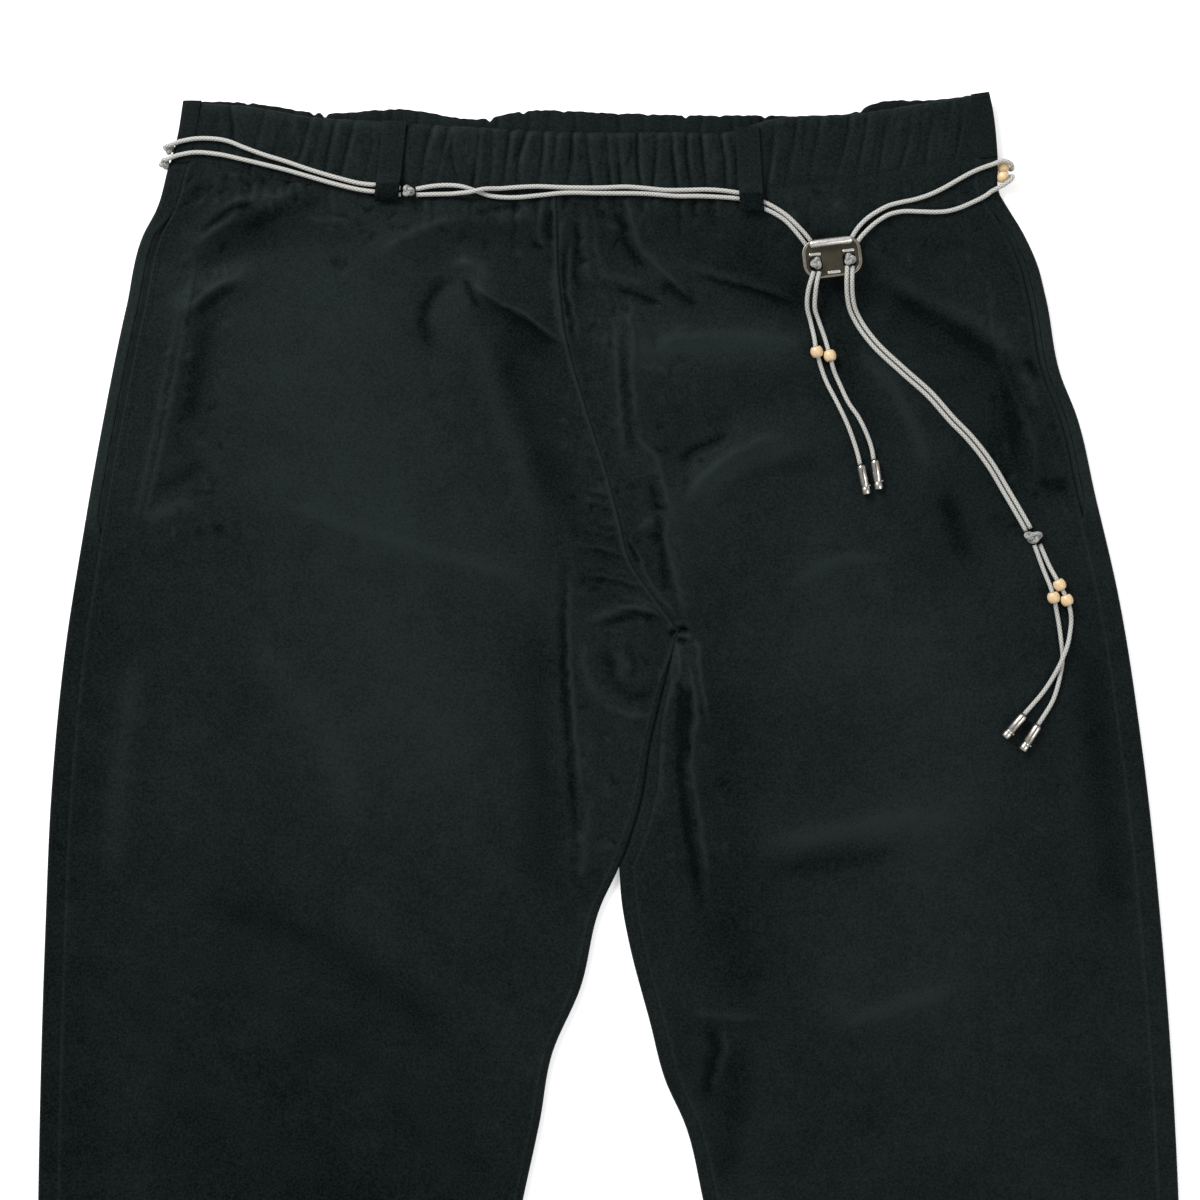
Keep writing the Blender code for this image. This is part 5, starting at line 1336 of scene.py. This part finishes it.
def tube_mesh(name, line, radius, material, sides=12, closed=False):
    """A tube along points in mm, unwrapped along and around, with rounded ends."""
    path = place(line)
    along = lengths_along(path)
    if closed:
        tangent = np.roll(path, -1, axis=0) - np.roll(path, 1, axis=0)
    else:
        tangent = np.gradient(path, axis=0)
    tangent /= np.linalg.norm(tangent, axis=1)[:, None]
    normal = np.cross(tangent[0], (0, 0, 1.0))
    if np.linalg.norm(normal) < 0.1:
        normal = np.cross(tangent[0], (1.0, 0, 0))
    turn = np.linspace(0, 2 * math.pi, sides + 1)[:-1]
    rings = []
    for point, direction in zip(path, tangent):
        normal = normal - direction * (normal @ direction)
        normal /= np.linalg.norm(normal)
        other = np.cross(direction, normal)
        rings.append(point + radius * MM * (np.outer(np.cos(turn), normal) + np.outer(np.sin(turn), other)))
    rings = np.array(rings)
    index = np.arange(rings.shape[0] * sides).reshape(-1, sides)
    if closed:
        index = np.append(index, index[:1], axis=0)
    first, second = index[:-1], index[1:]
    around = [first, np.roll(first, -1, axis=1), np.roll(second, -1, axis=1), second]
    faces = np.stack(around, axis=-1).reshape(-1, 4).tolist()
    if not closed:
        faces += [index[0][::-1].tolist(), index[-1].tolist()]
    made = mesh_piece(name, rings.reshape(-1, 3), faces, material)
    count = len(first)
    lengths = np.append(along, along[-1] + np.linalg.norm(path[-1] - path[0])) / (BRAID * MM)
    u = np.repeat(np.arange(count), sides)
    v = np.tile(np.arange(sides), count)
    ends = np.stack([lengths[u], lengths[u], lengths[u + 1], lengths[u + 1]], axis=1)
    rounds = np.stack([v, v + 1, v + 1, v], axis=1) / sides
    values = np.stack([ends, rounds], axis=-1).reshape(-1, 2)
    spare = len(made.data.loops) - len(values)
    layer = made.data.uv_layers.new(name="braid")
    layer.data.foreach_set("uv", np.concatenate([values, np.zeros((spare, 2))]).reshape(-1))
    return made


# %% Lay the strands
STRAND = CORD / 2
long_inner, long_outer = both_strands(LONG_TAIL, LONG_TAIL_APART)
ROUTES = {
    "cord_back_upper": BACK_UPPER, "cord_back_lower": BACK_LOWER,
    "cord_right_upper": RIGHT_UPPER, "cord_right_lower": RIGHT_LOWER,
    "cord_front_upper": FRONT_UPPER, "cord_front_lower": FRONT_LOWER,
    "cord_left_upper": LEFT_UPPER, "cord_left_lower": LEFT_LOWER,
    "cord_tail_lower": TAIL_LOWER, "cord_tail_upper": TAIL_UPPER,
    "cord_long_inner": long_inner, "cord_long_outer": long_outer,
    "cord_end_inner": LONG_END_INNER, "cord_end_outer": LONG_END_OUTER,
}
lines = {name: strand_line(name, route) for name, route in ROUTES.items()}
for name, line in lines.items():
    strand = tube_mesh(name.replace("cord_", "strand_"), line, STRAND, grey_cord)
    stands_for(strand, "cord", name)
    print(strand.name, "length mm:", round(length_of(line), 1))

# %% [markdown]
# ## Knots
#
# An overhand knot is a trefoil: a line that goes round three times over and under itself. A short closed
# trefoil of the same cord, squeezed to the solid's size, looks pulled tight.

# %% Tie the knots
KNOTS = (
    "knot_side_upper", "knot_side_lower", "knot_front", "knot_long", "knot_lock_right", "knot_lock_left",
)
SIDE_KNOT_SIZE, SIDE_KNOT_SHIFT = 1.3, 0.8
TIGHTNESS, QUARTER_STEP = 0.24, 0.7


def knot(node_name, quarter):
    low, high = (np.array(corner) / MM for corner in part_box(node_name))
    middle, size = (low + high) / 2, high - low
    t = np.linspace(0, 2 * math.pi, 61)[:-1]
    shape = np.stack([np.sin(t) + 2 * np.sin(2 * t), np.cos(t) - 2 * np.cos(2 * t), -np.sin(3 * t)], axis=1)
    cosine, sine = math.cos(quarter), math.sin(quarter)
    shape = shape @ np.array([[cosine, -sine, 0], [sine, cosine, 0], [0, 0, 1]]).T
    strand = min(STRAND, size.min() * TIGHTNESS)
    shape *= (size / 2 - strand) / np.abs(shape).max(0)
    grown, shift = (SIDE_KNOT_SIZE, SIDE_KNOT_SHIFT) if node_name.startswith("knot_side") else (1.0, 0.0)
    points = shape * grown + middle + np.array([shift, 0, 0])
    points[:, 1] = WAIST_Y - points[:, 1]
    made = tube_mesh(node_name.replace("knot_", "tied_"), points, strand, knot_cord_in_painted_shade, 12, closed=True)
    return stands_for(made, "cord", node_name)


knots = {name: knot(name, QUARTER_STEP * i) for i, name in enumerate(KNOTS)}
print("knots:", len(knots))

# %% [markdown]
# ## Wooden beads
#
# Small turned beads of pale wood, with a hole that the cord goes through. A profile turned round its axis
# gives the form, with rounded rims. The grain is a stretched noise along the axis.

# %% Turned pieces


def turned(name, profile, material, steps=40):
    """A closed profile of (radius, height) in mm, turned round Z."""
    profile = np.array(profile, float) * MM
    turn = np.linspace(0, 2 * math.pi, steps + 1)[:-1]
    rings = np.stack([
        np.outer(profile[:, 0], np.cos(turn)), np.outer(profile[:, 0], np.sin(turn)),
        np.repeat(profile[:, 1:], steps, axis=1),
    ], axis=-1)
    index = np.arange(len(profile) * steps).reshape(-1, steps)
    following = np.roll(index, -1, axis=0)
    corners = [index, np.roll(index, -1, axis=1), np.roll(following, -1, axis=1), following]
    faces = np.stack(corners, axis=-1).reshape(-1, 4)
    made = mesh_piece(name, rings.reshape(-1, 3), faces, material)
    made.data.set_sharp_from_angle(angle=math.radians(50))
    return made


def set_along(piece, centre, direction):
    piece.location = centre
    piece.rotation_euler = Vector(direction).to_track_quat("Z", "Y").to_euler()


def direction_near(line, centre):
    """Direction of a strand beside a place, in the frame."""
    path = place(line)
    i = int(np.argmin(np.linalg.norm(path - np.array(centre), axis=1)))
    return path[min(i + 2, len(path) - 1)] - path[max(i - 2, 0)]


def middle_of(node_name):
    low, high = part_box(node_name)
    return (low + high) / 2


# %% Pale wood
WOOD_LIGHT, WOOD_DARK = (0.80, 0.62, 0.38), (0.46, 0.29, 0.13)


def wood_material():
    made, tree, shader = new_material("pale turned wood", 0.42, Coat_Weight=0.15)
    position = coordinates(tree)
    stretch = node(tree, "ShaderNodeMapping")
    stretch.inputs["Scale"].default_value = (1.0, 1.0, 0.18)
    tree.links.new(position, stretch.inputs["Vector"])
    grain = noise(tree, stretch.outputs["Vector"], 1500.0, 4.0, 0.6)
    broad = noise(tree, position, 260.0, 2.0)
    fine, wide = math_node(tree, "MULTIPLY", grain, 0.9), math_node(tree, "MULTIPLY", broad, 0.5)
    factor = clamped(tree, math_node(tree, "SUBTRACT", math_node(tree, "ADD", fine, wide), 0.15))
    tree.links.new(mixed(tree, factor, WOOD_DARK, WOOD_LIGHT), shader.inputs["Base Color"])
    bumped(tree, shader, (grain, 0.2, 0.0001))
    return made


pale_wood = wood_material()

# %% Turn the beads
BEAD_RADIUS, BEAD_HALF, BEAD_HOLE, BEAD_ROUND = 3.2, 2.6, 1.3, 0.55
BESIDE_EDGE = {"bead_6": (-1.5 * MM, -0.8 * MM, 0.0), "bead_7": (-1.5 * MM, 0.8 * MM, 0.0)}
BEADS = {
    "bead_1": "cord_tail_lower", "bead_2": "cord_tail_upper", "bead_3": "cord_end_inner",
    "bead_4": "cord_end_outer", "bead_5": "cord_end_outer", "bead_6": None, "bead_7": None,
}


def bead_profile():
    """The bead's round outside, its rounded rims and its hole."""
    arc = BEAD_RADIUS + BEAD_ROUND
    rim = math.asin(BEAD_HALF / arc)
    outside = [(arc * math.cos(a) - BEAD_ROUND, arc * math.sin(a)) for a in np.linspace(rim, -rim, 17)]
    return outside + [
        (1.9, -BEAD_HALF), (1.5, -BEAD_HALF + 0.12), (BEAD_HOLE, -BEAD_HALF + 0.4),
        (BEAD_HOLE, BEAD_HALF - 0.4), (1.5, BEAD_HALF - 0.12), (1.9, BEAD_HALF),
    ]


for name, owner in BEADS.items():
    centre = middle_of(name) + Vector(BESIDE_EDGE.get(name, (0, 0, 0)))
    bead = turned(f"wooden_{name}", bead_profile(), pale_wood)
    set_along(bead, centre, direction_near(lines[owner], centre) if owner else (0, 1, 0))
    stands_for(bead, "wood", name)

# %% [markdown]
# ## Metal ends
#
# A worn nickel tube is crimped on each end of the cord: a slit along it, a small nub where it was pressed,
# and an open far end. The body is turned, and the slit and nub are thin pieces joined to it.

# %% Worn nickel and gunmetal


def metal_material(name, colour, dark, roughness, wear):
    made, tree, shader = new_material(name, roughness, 1.0)
    position = coordinates(tree)
    marks = noise(tree, position, 900.0, 4.0, 0.65)
    patches = noise(tree, position, 240.0, 2.0)
    factor = math_node(tree, "MULTIPLY", patches, wear)
    tree.links.new(mixed(tree, factor, colour, dark), shader.inputs["Base Color"])
    rough = math_node(tree, "ADD", math_node(tree, "MULTIPLY", marks, 0.3), roughness - 0.12)
    tree.links.new(rough, shader.inputs["Roughness"])
    bumped(tree, shader, (marks, 0.15, 0.00008))
    return made


nickel = metal_material("worn nickel", (0.62, 0.60, 0.56), (0.30, 0.27, 0.23), 0.3, 0.7)
gunmetal = metal_material("brushed gunmetal", (0.095, 0.087, 0.062), (0.04, 0.036, 0.026), 0.4, 0.8)
# A paler copy of the gunmetal for the lock's rim: a painted highlight on its bevel.
rim_highlight_metal = metal_material("rim with painted highlight", (0.36, 0.33, 0.28), (0.12, 0.105, 0.085), 0.36, 0.9)
polished = metal_material("polished edge", (0.90, 0.89, 0.86), (0.60, 0.58, 0.55), 0.28, 0.4)

# %% Crimp the ends
END_RADIUS, END_LENGTH = 2.2, 14.5
TIPS = {
    "tip_tail_lower": "cord_tail_lower", "tip_tail_upper": "cord_tail_upper",
    "tip_end_inner": "cord_end_inner", "tip_end_outer": "cord_end_outer",
}


def joined(name, parts):
    """Several pieces as one mesh."""
    for part in parts:
        part.data.transform(part.matrix_basis)
        part.matrix_basis.identity()
    bpy.ops.object.select_all(action="DESELECT")
    for part in parts:
        part.select_set(True)
    bpy.context.view_layer.objects.active = parts[0]
    bpy.ops.object.join()
    parts[0].name = name
    return parts[0]


def metal_end(node_name, line):
    half, bore = END_LENGTH / 2, END_RADIUS - 0.5
    profile = (
        (END_RADIUS - 0.25, half), (END_RADIUS, half - 0.25), (END_RADIUS, half - 3.0),
        (END_RADIUS - 0.3, half - 3.4), (END_RADIUS - 0.3, half - 4.4), (END_RADIUS, half - 4.8),
        (END_RADIUS, 1.2 - half), (END_RADIUS - 0.15, 0.5 - half), (bore + 0.1, -half), (bore, 0.3 - half),
        (bore, half - 2.0), (0.4, half - 2.2), (0.4, half - 1.6), (bore, half - 1.8), (bore, half - 0.3),
        (bore + 0.1, half),
    )
    body = turned(node_name + "_tube", profile, nickel, 32)
    slit_line = [(0.0, WAIST_Y - END_RADIUS + 0.12, z) for z in np.linspace(-half + 1.5, half - 5.5, 14)]
    slit = tube_mesh(node_name + "_slit", slit_line, 0.22, gunmetal, 6)
    nub_line = [(x, WAIST_Y, half - 3.9) for x in np.linspace(END_RADIUS - 0.5, END_RADIUS + 0.45, 4)]
    nub = tube_mesh(node_name + "_nub", nub_line, 0.5, nickel, 10)
    made = joined(node_name.replace("tip_", "metal_end_"), [body, slit, nub])
    set_along(made, middle_of(node_name), direction_near(line, middle_of(node_name)))
    return stands_for(made, "silver", node_name)


tips = {name: metal_end(name, lines[owner][-6:]) for name, owner in TIPS.items()}
print("metal ends:", len(tips))

# %% [markdown]
# ## Cord lock
#
# A thick metal plate with rounded ends and two holes, in which the cord is knotted, and a polished bar
# along its upper edge. A filled two-dimensional curve makes the plate with its holes, and its bevel rounds
# every edge.

# %% Build the cord lock
LOCK_WIDTH, LOCK_HEIGHT, LOCK_WALL = 30.0, 20.0, 2.6
LOCK_AT = (110.5, 72.0)
LOCK_TILT = math.radians(7)
LOCK_HOLE_OFFSET, LOCK_HOLE = (8.4, 2.3), 5.6
LOCK_BAR_RADIUS, LOCK_BAR_SHARE = 1.9, 0.37
DASHES = ((-8.4, 2.4, 6.0), (8.4, 2.4, 6.0), (0.0, -7.4, 6.6))


def rounded_outline(width, height, radius, centre=(0.0, 0.0), steps=8):
    """Points of a rounded rectangle."""
    points = []
    for corner, (sx, sy) in enumerate(((1, 1), (-1, 1), (-1, -1), (1, -1))):
        for a in np.linspace(0, math.pi / 2, steps):
            angle = a + corner * math.pi / 2
            x = sx * (width / 2 - radius) + radius * math.cos(angle)
            y = sy * (height / 2 - radius) + radius * math.sin(angle)
            points.append((centre[0] + x, centre[1] + y))
    return points


def flat_plate(name, outlines, height, thickness, bevel, material):
    """A plate from closed outlines in mm, the first filled and the others holes."""
    data = bpy.data.curves.new(name, "CURVE")
    data.dimensions = "2D"
    data.fill_mode = "BOTH"
    data.extrude = (thickness / 2 - bevel) * MM
    data.bevel_depth = bevel * MM
    data.bevel_resolution = 3
    data.offset = -bevel * MM
    for outline in outlines:
        spline = data.splines.new("POLY")
        spline.points.add(len(outline) - 1)
        for point, (x, y) in zip(spline.points, outline):
            point.co = (x * MM, y * MM, 0, 1)
        spline.use_cyclic_u = True
    curve = linked(name, data)
    mesh = bpy.data.meshes.new_from_object(curve)
    bpy.data.objects.remove(curve)
    mesh.materials.clear()
    mesh.materials.append(material)
    mesh.shade_smooth()
    mesh.set_sharp_from_angle(angle=math.radians(40))
    made = linked(name, mesh)
    made.location = (0, 0, height * MM)
    return made


def cord_lock():
    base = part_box("lock_plate")[0].z / MM
    hx, hy = LOCK_HOLE_OFFSET
    holes = [rounded_outline(LOCK_HOLE, LOCK_HOLE, 1.4, (side * hx, -hy)) for side in (-1, 1)]
    outlines = [rounded_outline(LOCK_WIDTH, LOCK_HEIGHT, 7.5)] + holes
    parts = [flat_plate("plate", outlines, LOCK_WALL / 2, LOCK_WALL, 0.7, gunmetal)]
    for x, y, width in DASHES:
        outline = rounded_outline(width, 1.5, 0.7, (x, y))
        parts.append(flat_plate("dash", [outline], LOCK_WALL + 0.3, 0.9, 0.3, polished))
    # A paler rim round the plate's face: a painted highlight along its bevelled edge.
    outer = rounded_outline(LOCK_WIDTH - 0.5, LOCK_HEIGHT - 0.5, 7.2)
    inner = rounded_outline(LOCK_WIDTH - 4.2, LOCK_HEIGHT - 2.8, 5.8)
    parts.append(flat_plate("rim", [outer, inner], LOCK_WALL + 0.1, 0.9, 0.4, rim_highlight_metal))
    lock = joined("cord_lock", parts)
    lock.location = place((LOCK_AT[0], LOCK_AT[1], base))
    lock.rotation_euler = (0, 0, LOCK_TILT)
    stands_for(lock, "gunmetal", "lock_plate")
    half, radius = LOCK_WIDTH * LOCK_BAR_SHARE, LOCK_BAR_RADIUS
    turn = np.linspace(math.pi / 2 - 0.02, 0, 8)
    profile = [(radius * math.cos(a), half - radius + radius * math.sin(a)) for a in turn]
    profile += [(r, -h) for r, h in reversed(profile)]
    bar = turned("lock_bar_polished", profile, polished, 24)
    direction = (math.cos(LOCK_TILT), math.sin(LOCK_TILT), 0)
    set_along(bar, middle_of("lock_bar"), direction)
    stands_for(bar, "silver", "lock_bar")
    return lock


print("cord lock:", len(cord_lock().data.polygons), "faces")

# %% [markdown]
# ## Belt loops
#
# A narrow folded strip with a row of stitches down each edge. It starts on the band's upper edge, goes over
# the cords and is folded under and tacked below them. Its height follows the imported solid.

# %% Build the belt loops
LOOP_WIDTH, LOOP_CLOTH = 12.0, 0.9
LOOP_FOLD = 0.76
LOOP_COLUMNS, FRONT_LOOP_ROWS, BACK_LOOP_ROWS = 25, 70, 60
FRONT_LOOPS = {
    "belt_loop_front_right": ((-107.3, 3.5), (-111.5, 44)), "belt_loop_front_left": ((68.3, 6.5), (70.8, 49)),
}
BACK_LOOPS = {"belt_loop_back_1": -130.0, "belt_loop_back_2": 0.0, "belt_loop_back_3": 120.0}
BACK_LOOP_PROFILE = ((1, 2.4), (6, 2.2), (12, 0.0), (36, 0.0), (42, 2.0), (44, 2.4))


def strip(name, node_name, tops, down, height, upwards):
    """A strip over a row of places: tops is across at each row, and the edges are pressed down."""
    share = np.linspace(-1, 1, LOOP_COLUMNS)[None, :]
    press = 0.22 * np.abs(share) ** 6 + 0.08 * np.exp(-(((np.abs(share) - 0.78) / 0.07) ** 2))
    across = tops[:, None] + share * LOOP_WIDTH / 2
    heights = height[:, None] - upwards * press
    points = np.stack([across, np.broadcast_to(down[:, None], across.shape), heights], axis=-1)
    along = np.linspace(0, 1, len(down))[:, None]
    # Painted light and shade: a painted highlight along both folded edges, and painted shade on the flap
    # folded under the cords.
    edge = 0.16 * np.exp(-(((np.abs(share) - 0.84) / 0.1) ** 2))
    painted_shading = 0.5 + edge * (along < LOOP_FOLD) - 0.3 * ease((along - LOOP_FOLD) / 0.04)
    made = shell(name, points, LOOP_CLOTH, upwards < 0, painted_shading)
    return stands_for(made, "cloth", node_name), points


loops = {}
for node_name, (top, bottom) in FRONT_LOOPS.items():
    tree = solid_tree(node_name)
    down = np.linspace(top[1] + 0.05, bottom[1] - 0.05, FRONT_LOOP_ROWS)
    tops = np.interp(down, (top[1], bottom[1]), (top[0], bottom[0]))
    height = smoothed(np.array([height_on(tree, x, d) for x, d in zip(tops, down)]), 3)
    height -= 0.5 * ease((down - bottom[1] + 1.6) / 1.6)
    loops[node_name] = strip(node_name + "_cloth", node_name, tops, down, height, 1)
for node_name, across in BACK_LOOPS.items():
    down = np.linspace(BACK_LOOP_PROFILE[0][0], BACK_LOOP_PROFILE[-1][0], BACK_LOOP_ROWS)
    height = np.interp(down, *zip(*BACK_LOOP_PROFILE))
    tops = np.full(BACK_LOOP_ROWS, across)
    loops[node_name] = strip(node_name + "_cloth", node_name, tops, down, height, -1)
print("belt loops:", len(loops))

# %% [markdown]
# ## Stitches
#
# Topstitching is many short dark threads, each a thin grain that lies half in the cloth. A whole row is one
# mesh: the same small grain, placed along a line at its own spacing, on the shells beneath it.

# %% Thread material
THREAD_DARK, THREAD_LIGHT = (0.0015, 0.0025, 0.0028), (0.012, 0.016, 0.016)


def thread_material():
    made, tree, shader = new_material("dark thread", 0.6, Specular_IOR_Level=0.08)
    twist = noise(tree, coordinates(tree), 2500.0, 2.0)
    tree.links.new(mixed(tree, twist, THREAD_DARK, THREAD_LIGHT), shader.inputs["Base Color"])
    bumped(tree, shader, (twist, 0.4, 0.0001))
    return made


dark_thread = thread_material()

# %% Lay rows of stitches
STITCH, STITCH_GAP, THREAD = 2.3, 0.7, 0.2
BAG_THREAD = 0.15
LOOP_STITCHES = (1.8, 0.6, 0.16)
GRAIN_SIDES = 6
GRAIN = ((-0.5, 0.35, -0.4), (-0.34, 1.0, 1.0), (0.34, 1.0, 1.0), (0.5, 0.35, -0.4))
GRAIN_POINTS = GRAIN_SIDES * len(GRAIN)


def tree_of_shells(*names):
    points, faces = [], []
    first = 0
    for name in names:
        made, corners = shells[name]
        points += made.tolist()
        faces += (corners + first).tolist()
        first = len(points)
    return BVHTree.FromPolygons(points, faces)


def grain_points(ends, length, radius, lift):
    """Rings of one stitch through three places on the cloth: thin, full, full and thin."""
    a, middle, b = (np.array(end) for end in ends)
    axis = (b - a) / np.linalg.norm(b - a)
    side = np.cross(axis, (0, 0, 1.0))
    side /= np.linalg.norm(side)
    up = np.cross(side, axis)
    turn = np.linspace(0, 2 * math.pi, GRAIN_SIDES + 1)[:-1]
    circle = np.outer(np.cos(turn), side) + np.outer(np.sin(turn), up)
    points = []
    for at, size, rise in GRAIN:
        centre = middle + axis * at * length * MM + up * lift * rise
        points += [tuple(point) for point in centre + radius * size * MM * circle]
    return points


def grain_faces(first):
    """The sides and both ends of one stitch, whose points begin at this number."""
    faces = []
    for ring in range(len(GRAIN) - 1):
        i = first + ring * GRAIN_SIDES
        for k in range(GRAIN_SIDES):
            following = (k + 1) % GRAIN_SIDES
            faces.append((i + k, i + following, i + GRAIN_SIDES + following, i + GRAIN_SIDES + k))
    last = first + GRAIN_POINTS
    faces.append(tuple(range(first + GRAIN_SIDES - 1, first - 1, -1)))
    faces.append(tuple(range(last - GRAIN_SIDES, last)))
    return faces


def stitch_rows(name, tree, routes, length=STITCH, gap=STITCH_GAP, radius=THREAD, from_below=False):
    """Stitches along several routes of (across, down), on the cloth's outer face."""
    lift = (-1 if from_below else 1) * radius * MM * 0.5
    points, faces = [], []
    for route in routes:
        line = curved(route, 0.5)
        along = lengths_along(line)
        for start in np.arange(0, along[-1] - length, length + gap):
            at = (start, start + length / 2, start + length)
            places = zip(np.interp(at, along, line[:, 0]), np.interp(at, along, line[:, 1]))
            ends = [hit_on(tree, x, d, from_below) for x, d in places]
            if None in ends:
                continue
            faces += grain_faces(len(points))
            points += grain_points(ends, length, radius, lift)
    made = mesh_piece(name, points, faces, dark_thread)
    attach(made, "root")
    print(name, "stitches:", len(points) // GRAIN_POINTS)


def offset_rows(side, downs, inwards):
    """Routes that run down beside the folded side, each this far in from it."""
    return [[(float(SIDE[side](d)) - side * inward, float(d)) for d in downs] for inward in inwards]


# %% Stitch the pockets, seams and hems
fronts_tree = tree_of_shells("front_right_cloth", "front_left_cloth")
for side, word in WORD.items():
    top, bottom = POCKET[side]
    downs = np.linspace(top - 4, bottom + 6, 30)
    rows = offset_rows(side, downs, (SIDE_SEAM_IN + 1.3, SIDE_SEAM_IN + 3.0))
    stitch_rows(f"pocket_stitches_{word}", fronts_tree, rows)
bag_right = ((-206, 65), (-210, 97), (-215, 112), (-220, 132), (-230, 182), (-237, 207), (-241, 219))
bag_left = ((190, 72), (196, 124), (206, 146), (213, 162), (215, 187))
stitch_rows("pocket_bag_stitches_right", fronts_tree, [bag_right], radius=BAG_THREAD)
stitch_rows("pocket_bag_stitches_left", fronts_tree, [bag_left], radius=BAG_THREAD)
band_tree = tree_of_shells("waistband_front_cloth")
band_row = [(float(x), float(band_seam(x)) - 2.2) for x in np.linspace(-208, 184, 120)]
stitch_rows("band_stitches", band_tree, [band_row])
hem_rows = []
for side in (-1, 1):
    inner, outer = float(inner_edge(side, HEM - HEM_FOLD)), float(SIDE[side](HEM - HEM_FOLD))
    ends = (inner + side * 10, outer - side * 11)
    hem_rows.append([(float(x), HEM - HEM_FOLD) for x in np.linspace(*ends, 20)])
stitch_rows("hem_stitches", fronts_tree, hem_rows)
for node_name, (_, points) in loops.items():
    below = "back" in node_name
    tree = tree_of_shells(node_name + "_cloth")
    down = points[2:-2:4, 0, 1]
    middle = points[2:-2:4, LOOP_COLUMNS // 2, 0]
    rows = [list(zip((middle + sign * 4.7).tolist(), down.tolist())) for sign in (-1, 1)]
    stitch_rows(node_name.replace("belt_", "") + "_stitches", tree, rows, *LOOP_STITCHES, below)

# %% [markdown]



# %% [markdown]
# ## White surface and soft light
#
# The garment lies on plain white. One large soft light from the upper left models the folds, and weaker
# ones fill the shadows.

# %% Floor and lights
FLOOR_HALF, FLOOR_DROP, FLOOR_GLOW = 20.0, 0.0004, 0.35
FLOOR_WHITE, WHITE = (0.95, 0.95, 0.95, 1), (1, 1, 1, 1)
ROOM_LIGHT = 0.42


def floor():
    corners = [(x * FLOOR_HALF, y * FLOOR_HALF, 0) for x, y in ((-1, -1), (1, -1), (1, 1), (-1, 1))]
    data = bpy.data.meshes.new("floor")
    data.from_pydata(corners, [], [(0, 1, 2, 3)])
    made = new_material(
        "white floor", 0.9, Base_Color=FLOOR_WHITE, Emission_Color=WHITE, Emission_Strength=FLOOR_GLOW,
    )[0]
    data.materials.append(made)
    surface = linked("floor", data)
    surface.location.z = -FLOOR_DROP


def soft_light(name, place_at, aim, size, power):
    data = bpy.data.lights.new(name, "AREA")
    data.size = size
    data.energy = power
    lamp = linked(name, data)
    lamp.location = place_at
    lamp.rotation_euler = (Vector(aim) - Vector(place_at)).to_track_quat("-Z", "Y").to_euler()


floor()
AIM = (0.0, 0.25, 0.0)
soft_light("key", (-1.5, 2.1, 1.9), AIM, 1.3, 112.0)
soft_light("fill", (1.9, -0.9, 2.3), AIM, 1.8, 40.0)
world = bpy.data.worlds.new("room")
world.use_nodes = True
background = world.node_tree.nodes["Background"]
background.inputs["Color"].default_value = WHITE
background.inputs["Strength"].default_value = ROOM_LIGHT
bpy.context.scene.world = world
bpy.context.scene.view_settings.view_transform = "Standard"
